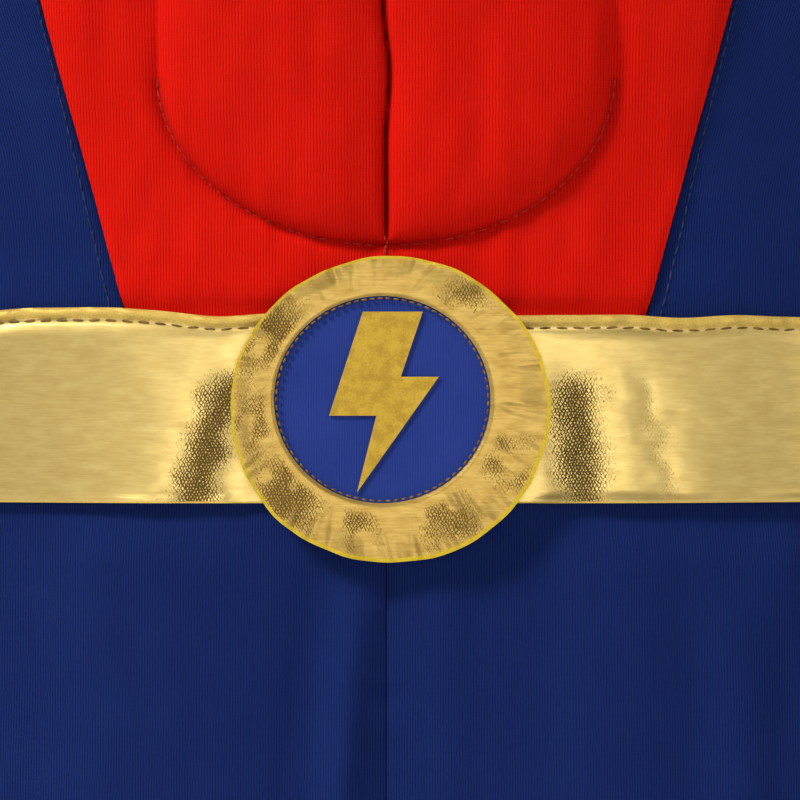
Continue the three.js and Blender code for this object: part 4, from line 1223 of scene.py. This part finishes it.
def makeBadge():
    ringLow, ringHigh = lowOf("badge_ring"), highOf("badge_ring")
    discLow, discHigh = lowOf("badge_disc"), highOf("badge_disc")
    feltLow, feltHigh = lowOf("badge_felt"), highOf("badge_felt")
    hole = badge["hole"]

    def boxOutline(low, high):
        middle, size = (low + high) / 2, high - low
        return lambda angle: ellipsePoint(middle[0], middle[2], size[0], size[2], angle)

    def middleOf(low, high):
        middle = (low + high) / 2
        return lambda angle: ellipsePoint(middle[0], middle[2], 0.04, 0.04, angle)

    def fuzz(angle, share):
        return unevenness(angle * 40, share * 30, 1.4, 201) * badge["feltFuzz"]

    shares = np.linspace(0, 1, 34)
    felt = roundSheet("badgeFelt", middleOf(feltLow, feltHigh), boxOutline(feltLow, feltHigh), shares,
                      lambda a, s: feltLow[1] + 0.12 + fuzz(a, s) * 0.3, lambda a, s: feltHigh[1] + 0 * a)
    dress(felt, "blackFelt", nodes=["badge_felt"])
    disc = roundSheet("badgeDisc", middleOf(discLow, discHigh), boxOutline(discLow, discHigh), shares,
                      lambda a, s: discLow[1] + 0 * a, lambda a, s: discHigh[1] + 0 * a)
    dress(disc, "blueKnit", nodes=["badge_disc"])

    def inner(angle):
        return ellipsePoint(hole["x"], hole["z"], hole["width"], hole["height"], angle)

    def wavy(angle):
        # the raw outer edge wanders a little
        wander = 0.28 * np.sin(5 * angle + 0.6) + 0.2 * np.sin(11 * angle + 2.0) + 0.12 * np.sin(23 * angle)
        middle, size = (ringLow + ringHigh) / 2, ringHigh - ringLow
        return ellipsePoint(middle[0], middle[2], size[0] - 0.6 + wander, size[2] - 0.6 + wander, angle)

    thickness = ringHigh[1] - ringLow[1]

    def ringFront(angle, share):
        lift = badge["ringWaves"] * smooth(share, 0.45, 1.0) * (0.55 + 0.3 * np.sin(6 * angle + 1.0)
                                                                 + 0.25 * np.sin(13 * angle + 0.4))
        radial = 0.8 * unevenness(angle * 16, share * 1.2, 1.0, 211)
        radial = radial + 0.4 * unevenness(angle * 42, share * 2.0, 1.0, 212)
        strength = 0.4 + 1.2 * unevenness(angle * 3, share, 1.0, 213) ** 2
        radial = radial * smooth(share, 0.08, 0.35) * strength
        roundOff = 0.35 * (1 - smooth(share, 0, 0.07))
        return ringLow[1] - np.maximum(lift + radial * 0.55, 0) + roundOff

    # patches of painted dark reflection round the ring's foil
    def ringDarkReflection(angle, share):
        patches = [(2.6, 0.36, 1.0), (3.3, 0.34, 0.72), (3.9, 0.32, 1.0), (4.5, 0.2, 0.8), (5.2, 0.26, 0.85),
                   (5.85, 0.22, 0.9), (0.98, 0.2, 0.7)]
        darkReflectionShare = 0 * angle + 0 * share
        for middle, spread, strength in patches:
            turn = np.angle(np.exp(1j * (angle - middle)))
            darkReflectionShare = np.maximum(darkReflectionShare, strength * np.exp(-(turn / spread) ** 2))
        clumps = smooth(unevenness(angle * 12, share * 4, 1.3, 221), -1.0, 0.3)
        return darkReflectionShare * clumps * smooth(share, 0.05, 0.3) * (1 - 0.4 * smooth(share, 0.8, 1.0))

    shares = np.concatenate([np.linspace(0, 0.94, 38), np.linspace(0.95, 1, 5)])
    width = (ringHigh[0] - ringLow[0] - hole["width"]) / 2

    def ringEdge(angle, share):
        raw = badge["rawEdge"] / width
        return smooth(share, 1 - 1.5 * raw, 1 - 0.7 * raw) + 0 * angle

    ring = roundSheet("badgeRing", inner, wavy, shares, ringFront, lambda a, s: ringFront(a, s) + thickness,
                      {"paintedDarkReflection": ringDarkReflection, "edge": ringEdge})
    dress(ring, "ringFoil", nodes=["badge_ring"])
    angle = np.linspace(0, 2 * math.pi, 400, endpoint=False)
    flat = ellipsePoint(hole["x"], hole["z"], hole["width"] - 2 * badge["stitchInset"],
                        hole["height"] - 2 * badge["stitchInset"], angle)
    depth = ringLow[1] + badge["stitch"]["height"] * 0.55
    path = np.stack([flat[:, 0], np.full(len(angle), depth), flat[:, 1]], axis=1)
    forward = np.tile([0.0, -1.0, 0.0], (len(angle), 1))
    stitches = makeStitches("badgeStitching", path, forward, badge["stitch"], True)
    dress(stitches, "goldThreadWithPaintedShade", nodes=["badge_stitching"])
    for piece, size in ((felt, feltHigh - feltLow), (disc, discHigh - discLow), (ring, ringHigh - ringLow)):
        area = math.pi / 4 * size[0] * size[2]
        if piece is ring:
            area -= math.pi / 4 * hole["width"] * hole["height"]


def makeBolt():
    # printed bolt with a pale rim, mottled by the noise in its print
    settings, hole = badge["bolt"], badge["hole"]
    front = lowOf("badge_bolt")[1]
    back = highOf("badge_bolt")[1]
    corners = [Vector((x + hole["x"], 0, z + hole["z"])) for x, z in settings["corners"]]
    outline = []
    for i, corner in enumerate(corners):
        after = corners[(i + 1) % len(corners)]
        steps = max(2, int((after - corner).length / settings["step"]))
        outline.extend(corner.lerp(after, k / steps) for k in range(steps))
    shape = bmesh.new()
    loop = [shape.verts.new((p.x * mm, front * mm, p.z * mm)) for p in outline]
    face = shape.faces.new(loop)
    face.normal_update()
    if face.normal.y > 0:
        face.normal_flip()
    rim = bmesh.ops.inset_region(shape, faces=[face], thickness=settings["rim"] * mm,
                                 depth=settings["lift"] * mm, use_even_offset=True)
    rimFaces = set(rim["faces"])
    for each in shape.faces:
        each.material_index = 1 if each in rimFaces else 0
    edgeLoop = [e for e in shape.edges if len(e.link_faces) == 1]
    wall = bmesh.ops.extrude_edge_only(shape, edges=edgeLoop)
    bottom = [v for v in wall["geom"] if isinstance(v, bmesh.types.BMVert)]
    for vertex in bottom:
        vertex.co.y = back * mm
    closing = bmesh.ops.contextual_create(shape, geom=[e for e in shape.edges if len(e.link_faces) == 1])
    for each in closing["faces"]:
        each.material_index = 1
    bmesh.ops.recalc_face_normals(shape, faces=shape.faces)
    mesh = bpy.data.meshes.new("badgeBolt")
    shape.to_mesh(mesh)
    shape.free()
    piece = bpy.data.objects.new("badgeBolt", mesh)
    bpy.context.scene.collection.objects.link(piece)
    dress(piece, "mustardPrint", nodes=["badge_bolt"])
    mesh.materials.append(looks["palePrintEdge"])


makeBadge()
makeBolt()
print("badge made")


# Bindings round the neck and the armholes: a rounded tape with a line of stitches
binding = {
    "away": 1.9, "middle": 1.0, "width": 3.4, "height": 2.8, "around": 14,
    "stitch": {"pitch": 2.6, "length": 2.0, "width": 0.45, "height": 0.4},
}


def besideEdge(at, s, t, stepS, stepT):
    def place(u, v):
        return at(np.clip(u, 0, 1), np.clip(v, 0, 1))
    step = 0.02
    edge = place(s, t)
    normal = unit(np.cross(place(s + step, t) - place(s - step, t), place(s, t + step) - place(s, t - step)))
    normal = -normal if float(np.sum(normal * fromBody(edge))) < 0 else normal
    out = unit(np.cross(place(s + stepS, t + stepT) - place(s - stepS, t - stepT), normal))
    out = -out if float(np.dot(out, edge - place(0.5, 0.5))) < 0 else out
    return edge + out * binding["away"] + normal * binding["middle"], normal


def makeBinding(pieceName, places, reference, nodeName):
    points = np.array([place for place, normal in places])
    normals = np.array([normal for place, normal in places])
    path = curveThrough(points, 8, True)
    section = ovalSection(binding["width"], binding["height"], binding["around"])
    piece = makeSweep(pieceName, path, reference, section, True)
    dress(piece, "navyKnit", nodes=[nodeName])
    up = unit(curveThrough(normals, 8, True))
    onTop = path + up * binding["height"] * 0.5
    stitches = makeStitches(pieceName + "_stitching", onTop, up, binding["stitch"], True)
    dress(stitches, "navyThread")


def neckPlaces():
    def quarter(side, front):
        def at(u, v):
            return panelPoint(side, front, np.asarray(u, float), np.asarray(v, float))
        step = 1 / stations["across"]
        return [besideEdge(at, column * step, 1.0, step, 0) for column in range(stations["toNeck"])]

    def ridge(side):
        place = np.array([side * (neck["halfWidth"] - binding["away"]), 0, binding["middle"]])
        return place, np.array([0.0, 0, 1])

    return [*quarter(1, True)[1:], ridge(1), *quarter(1, False)[::-1], *quarter(-1, False)[1:], ridge(-1),
            *quarter(-1, True)[::-1]]


def armholePlaces(side):
    def edgeRun(front):
        def at(u, v):
            return panelPoint(side, front, np.asarray(u, float), np.asarray(v, float))
        rows = [row / stations["up"] for row in range(stations["up"])]
        rows = [row for row in rows if at(1, row)[2] > armhole["topZ"] + 3]
        return [besideEdge(at, 1.0, row, 0, 1 / stations["up"]) for row in rows]

    def under(u, v):
        return flankPoint(side, np.asarray(u, float), np.asarray(v, float))

    tip = (np.array([side * (shoulder["tipX"] + binding["away"]), 0, binding["middle"] - shoulder["drop"]]),
           np.array([0.0, 0, 1]))
    step = 1 / stations["under"]
    below = [besideEdge(under, column * step, 1.0, step, 0) for column in range(1, stations["under"])]
    return [*edgeRun(True), tip, *edgeRun(False)[::-1], *below[::-1]]


makeBinding("neckBinding", neckPlaces(), (0, 0, 1), "neck_binding")
for sideName, sideSign in sides:
    makeBinding("armholeBinding_" + sideName, armholePlaces(sideSign), (1, 0, 0),
                "armhole_binding_" + sideName)
print("bindings made")


# Shoulder tabs: each lifts from its base and closes over hook-and-loop pads under a sewn button
tab = {
    "x": 87, "width": 32, "hingeY": -4, "frontY": -34, "rearY": 24, "cloth": 1.2, "hingeClearance": 1,
    "rise": 6, "columns": 64, "rows": 80, "baseCut": (37, 34), "cut": (37, 38), "stitchInset": 2.2,
    "pad": 1.0, "padWidth": 24, "padRearY": -14, "padFrontY": -31, "nap": 0.12,
    "stitch": {"pitch": 2.6, "length": 2.0, "width": 0.45, "height": 0.35},
    "button": {"share": 0.64, "diameter": 14, "height": 3, "around": 72, "ridges": 24, "ridgeDepth": 0.12},
}
tabFace = fabric["face"] + fabric["layerGap"]
loopTop = tabFace + tab["pad"]
hookTop = loopTop + fabric["layerGap"] + tab["pad"]


def shoulderPatch(side, width, rearY, frontY, columns, rows):
    s, t = grid(columns, rows)
    points = shoulderTop(side * (tab["x"] + width * (s - 0.5)), mix(rearY, frontY, t))
    return clothOf(points, upwards, 0.5), t


def roundedSheet(pieceName, cloth, low, high, rounding=0.5):
    # the cloth's edges round over instead of ending square
    away = np.minimum.reduce(edgeDistances(cloth))
    soft = rounding * (1 - pillow(away, 1.0))
    middle = (low + high) / 2
    low, high = np.minimum(low + soft, middle - 0.05), np.maximum(high - soft, middle + 0.05)
    return makeSheet(pieceName, cloth, low, high)


def makeTab(name, side):
    body = "tab_" + name
    for kind, low, high, owner in (("loop", tabFace, loopTop, "costume"),
                                   ("hook", loopTop + fabric["layerGap"], hookTop, body)):
        cloth, t = shoulderPatch(side, tab["padWidth"], tab["padRearY"], tab["padFrontY"], 60, 44)
        nap = tab["nap"] * unevenness(cloth["u"], cloth["v"], 0.7, 301)
        rim = smooth(np.minimum.reduce(edgeDistances(cloth)), 0.8, 1.6)
        if kind == "loop":
            piece = roundedSheet("loopPad_" + name, cloth, low, high - 0.2 + nap * rim, 0.3)
        else:
            piece = roundedSheet("hookPad_" + name, cloth, low + 0.2 - nap * rim, high, 0.3)
        dress(piece, "hookTape", owner, ["%s_pad_%s" % (kind, name)])

    base, t = shoulderPatch(side, tab["width"], tab["rearY"], tab["hingeY"] + tab["hingeClearance"], 60, 60)
    piece = roundedSheet("tabBase_" + name, base, tabFace, tabFace + tab["cloth"])
    dress(piece, "redSatin", nodes=["tab_base_" + name])
    for edge in ("start", "end", "foot", "top"):
        line, normals = insetLine(base, tabFace + tab["cloth"] + 0.05, edge, tab["stitchInset"])
        stitches = makeStitches("tabBaseStitching_%s_%s" % (name, edge), line[5:-5], normals[5:-5],
                                tab["stitch"])
        dress(stitches, "redThread")
    declareSheet(piece, base, tabFace, tab["baseCut"])

    cloth, t = shoulderPatch(side, tab["width"], tab["hingeY"], tab["frontY"], tab["columns"], tab["rows"])
    run = t * (tab["hingeY"] - tab["frontY"])
    low = mix(tabFace, hookTop + fabric["layerGap"], smooth(run, 2, 2 + tab["rise"]))
    piece = roundedSheet("shoulderTab_" + name, cloth, low, low + tab["cloth"])
    dress(piece, "redSatin", body, ["shoulder_tab_" + name])
    for edge in ("start", "end", "top"):
        line, normals = insetLine(cloth, low + tab["cloth"] + 0.05, edge, tab["stitchInset"])
        stitches = makeStitches("shoulderTabStitching_%s_%s" % (name, edge), line[5:-5], normals[5:-5],
                                tab["stitch"])
        dress(stitches, "redThread", body)
    declareSheet(piece, cloth, low, tab["cut"])
    makeButton(name, body, cloth, low)


def makeButton(name, body, cloth, low):
    button = tab["button"]
    row, column = int(button["share"] * tab["rows"]), tab["columns"] // 2
    normal = cloth["normals"][row, column]
    seat = faceOf(cloth, low + tab["cloth"] + fabric["layerGap"])[row, column]
    # profile: shares of the radius and of the height, up the back, round the rim and over the dome
    profile = [(0.0, 0.0), (0.82, 0.0), (0.93, 0.06), (0.99, 0.2), (1.0, 0.34), (0.97, 0.47), (0.9, 0.52),
               (0.84, 0.49), (0.8, 0.55), (0.7, 0.74), (0.52, 0.89), (0.3, 0.97), (0.12, 1.0), (0.0, 1.0)]
    angle = np.arange(button["around"]) * 2 * math.pi / button["around"]
    side = unit(np.cross(normal, np.array([0.0, 1.0, 0.0])))
    ahead = np.cross(normal, side)
    points, faces = [seat], []
    for share, height in profile[1:-1]:
        onRim = 0.8 < share < 0.98 and height > 0.3
        ridged = button["ridgeDepth"] * onRim * np.cos(angle * button["ridges"])
        radius = share * button["diameter"] / 2 + ridged
        spoke = np.cos(angle)[:, None] * side + np.sin(angle)[:, None] * ahead
        points.extend(seat + radius[:, None] * spoke + normal * height * button["height"])
    points.append(seat + normal * button["height"])
    around, rings = button["around"], len(profile) - 2
    for k in range(around):
        after = (k + 1) % around
        faces.append((0, 1 + after, 1 + k))
        for ring in range(rings - 1):
            a, b = 1 + ring * around, 1 + (ring + 1) * around
            faces.append((a + k, a + after, b + after, b + k))
        last = 1 + (rings - 1) * around
        faces.append((last + k, last + after, len(points) - 1))
    piece = makeMesh("tabButton_" + name, np.array(points), faces, sharpAngle=35)
    dress(piece, "gildedButton", body, ["tab_button_" + name])


for sideName, sideSign in sides:
    makeTab(sideName, sideSign)
print("tabs made")


# Cape: an outer cloth and a lining, sewn together along the top and hanging in folds
cape = {
    "topHalfWidth": 98, "swagHalfWidth": 70, "swagY": 57, "swagZ": -54, "length": 600, "bottomHalfWidth": 255,
    "seatGap": 1.2, "behindTab": 1.2, "hangY": 60, "shoulderDrop": 18, "lean": 0.06, "folds": 5,
    "foldDepth": 26, "ripples": 5.0, "cloth": 0.8, "gap": 0.3, "columns": 260, "rows": 240, "hem": 12,
    "stitchInset": 1.5, "cut": (600, 660), "bindingWidth": 2.0, "held": {"start": 0.012, "end": 0.035},
    "stitch": {"pitch": 3.2, "length": 2.6, "width": 0.5, "height": 0.4},
}


def capeTop(across):
    x = across * cape["topHalfWidth"]
    seatX = np.maximum(np.abs(x), cape["swagHalfWidth"])
    y = tab["rearY"] + cape["behindTab"] + 0 * seatX
    step = 0.5
    normal = unit(np.cross(shoulderTop(seatX + step, y) - shoulderTop(seatX - step, y),
                           shoulderTop(seatX, y - step) - shoulderTop(seatX, y + step)))
    normal = np.where(normal[..., 2:] < 0, -normal, normal)
    onTab = shoulderTop(seatX, y) + normal * (tabFace + tab["cloth"] + cape["seatGap"])
    out = np.clip(np.abs(x) / cape["swagHalfWidth"], 0, 1)
    y, z = mix(cape["swagY"], onTab[..., 1], out ** 4), mix(cape["swagZ"], onTab[..., 2], out ** 2)
    return np.stack([x, y, z], axis=-1)


def capePoint(s, t):
    across, fall = 2 * s - 1, t ** 1.7
    top = capeTop(across)
    z = mix(top[..., 2], cape["swagZ"] - cape["length"], fall)
    below = top[..., 2] - z
    x = mix(top[..., 0], across * cape["bottomHalfWidth"], mix(fall, t, 0.5))
    hang = mix(top[..., 1], cape["hangY"], 1 - np.exp(-below / cape["shoulderDrop"])) + cape["lean"] * below
    turns = 2 * math.pi * cape["folds"] * s + 0.35 * np.sin(math.pi * 2 * s) * fall
    fold = cape["foldDepth"] * np.sqrt(fall) * (0.5 - 0.5 * np.cos(turns))
    small = cape["ripples"] * smooth(fall, 0.02, 0.5) * unevenness(s * 60, fall * 3.0, 3.2, 401)
    small += 1.2 * unevenness(s * 90, fall * 14, 2.0, 402) * smooth(fall, 0.0, 0.15)
    return np.stack([x, hang + fold + small - cape["ripples"] * 0.3 * smooth(fall, 0.02, 0.5), z], axis=-1)


def makeCape():
    s, t = grid(cape["columns"], cape["rows"])
    cloth = clothOf(capePoint(s, t), backwards, 0.5)
    left, right, top, foot = edgeDistances(cloth)  # the grid runs down from the top
    hemLine = np.minimum(np.minimum(left, right), foot)
    hem, stitchLine = cape["hem"], cape["hem"] - cape["stitchInset"]
    turned = 0.35 * (1 - smooth(hemLine, hem - 1, hem)) - 0.25 * bump(hemLine, stitchLine, 0.8)
    lift = cape["cloth"] + cape["gap"]
    lining = makeSheet("capeLining", cloth, 0, cape["cloth"])
    outer = makeSheet("capeOuter", cloth, lift, lift + cape["cloth"] + np.maximum(turned, -0.2))
    for piece, look, nodeName, slotName in ((lining, "navySatin", "cape_lining", "navy_lining"),
                                            (outer, "redSatin", "cape_outer", "red_satin")):
        dress(piece, look, None, [nodeName])
        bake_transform(piece)
    for edge in ("start", "end", "top"):
        line, normals = insetLine(cloth, lift + cape["cloth"] + 0.1, edge, stitchLine)
        stitches = makeStitches("capeHem_" + edge, line[6:-6], normals[6:-6], cape["stitch"])
        dress(stitches, "redThread", None)
        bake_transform(stitches)
    topEdge = cloth["points"][0]
    up = unit(topEdge - cloth["points"][4])
    path = topEdge + up * (cape["bindingWidth"] / 2 + cape["gap"]) + cloth["normals"][0] * lift
    section = ovalSection(cape["bindingWidth"] + 0.6, cape["bindingWidth"])
    tape = makeSweep("capeTopBinding", path, (0, 1, 0), section, False)
    dress(tape, "redSatin", None, ["cape_top_binding"])
    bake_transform(tape)
    declareSheet(lining, cloth, 0, cape["cut"])
    declareSheet(outer, cloth, lift, cape["cut"])


makeCape()
print("cape made")


# Care label, blank, sewn inside the back of the neck
label = {
    "width": 26, "height": 34, "thickness": 0.4, "drop": 8, "hem": 3,
    "stitch": {"pitch": 2.4, "length": 1.8, "width": 0.4, "height": 0.3},
}


def makeLabel():
    s, t = grid(40, 50)
    z = -neck["backDrop"] - label["drop"] - label["height"] * (1 - t)
    cloth = clothOf(bodyPoint(math.pi - frontAngle(label["width"] * (s - 0.5), z), z), backwards, 0.5)
    face = fabric["navyBase"] - fabric["layerGap"]
    curl = 0.25 * unevenness(cloth["u"], cloth["v"], 9, 501) - 0.9 * (1 - smooth(cloth["v"], 0, 9)) ** 2
    outside = face + np.minimum(curl, 0)
    piece = makeSheet("careLabel", cloth, outside - label["thickness"], outside)
    dress(piece, "whiteSatin", nodes=["care_label"])
    line, normals = insetLine(cloth, outside - label["thickness"] - 0.05, "top", label["hem"])
    stitches = makeStitches("careLabelStitching", line[1:-1], normals[1:-1], label["stitch"])
    dress(stitches, "whiteThread")
    declareSheet(piece, cloth, 0, (label["width"], label["height"] + 1))


makeLabel()
print("care label made")


# Camera, floor and studio light
view = {"x": 3.3, "z": beltMid + 2.3, "width": 189, "lens": 120, "sensor": 36, "clip": (0.02, 50)}
floor = {"below": 12, "size": 6000, "colour": colour(226, 226, 224), "paler": colour(234, 234, 233)}
studio = {"world": 0.17, "backdrop": (0.86, 0.86, 0.87, 1.0), "aimY": -40}
lights = {
    "key": {"at": (-1050, -800, 850), "size": 420, "power": 28},
    "front": {"at": (60, -2000, -200), "size": 900, "power": 7},
    "fill": {"at": (1300, -900, 100), "size": 900, "power": 3},
    "rim": {"at": (300, 1500, 700), "size": 1000, "power": 14},
}


def makeCamera():
    data = bpy.data.cameras.new("camera")
    data.lens, data.sensor_width = view["lens"], view["sensor"]
    data.clip_start, data.clip_end = view["clip"]
    camera = bpy.data.objects.new("camera", data)
    distance = view["width"] / view["sensor"] * view["lens"]
    camera.location = (view["x"] * mm, (lowOf("badge_ring")[1] - distance) * mm, view["z"] * mm)
    camera.rotation_euler = (math.pi / 2, 0, 0)
    bpy.context.scene.collection.objects.link(camera)
    bpy.context.scene.camera = camera


def makeFloor():
    level = cadBox[0][2] - floor["below"] * mm
    bpy.ops.mesh.primitive_plane_add(size=floor["size"] * mm, location=(0, 0, level))
    piece = bpy.context.object
    piece.name = "floor"
    material, tree, shader = newMaterial("floorPaper", {"Roughness": 0.85, "Specular IOR Level": 0.2})
    place = addNode(tree, "ShaderNodeTexCoord").outputs["Object"]
    tone = noiseOf(tree, place, 3.0, 3.0)
    tree.links.new(blendOf(tree, tone, floor["colour"], floor["paler"]), shader.inputs["Base Color"])
    piece.data.materials.append(material)


def makeLights():
    middle = Vector((0, studio["aimY"] * mm, view["z"] * mm))
    for name, light in lights.items():
        data = bpy.data.lights.new(name, "AREA")
        data.shape, data.size, data.energy = "DISK", light["size"] * mm, light["power"]
        lamp = bpy.data.objects.new(name, data)
        lamp.location = Vector(light["at"]) * mm
        lamp.rotation_euler = (middle - lamp.location).to_track_quat("-Z", "Y").to_euler()
        bpy.context.scene.collection.objects.link(lamp)
    world = bpy.data.worlds.new("studio")
    world.use_nodes = True
    tree = world.node_tree
    glow = tree.nodes["Background"]
    glow.inputs["Strength"].default_value = studio["world"]
    glow.inputs["Color"].default_value = (1.0, 1.0, 1.0, 1.0)
    backdrop = addNode(tree, "ShaderNodeBackground", {"Color": studio["backdrop"], "Strength": 1.0})
    seen = addNode(tree, "ShaderNodeLightPath").outputs["Is Camera Ray"]
    both = addNode(tree, "ShaderNodeMixShader", {0: seen, 1: glow.outputs[0], 2: backdrop.outputs[0]})
    tree.links.new(both.outputs[0], tree.nodes["World Output"].inputs["Surface"])
    bpy.context.scene.world = world


makeCamera()
makeFloor()
makeLights()
bpy.context.scene.view_settings.view_transform = "Standard"


print("scene made")
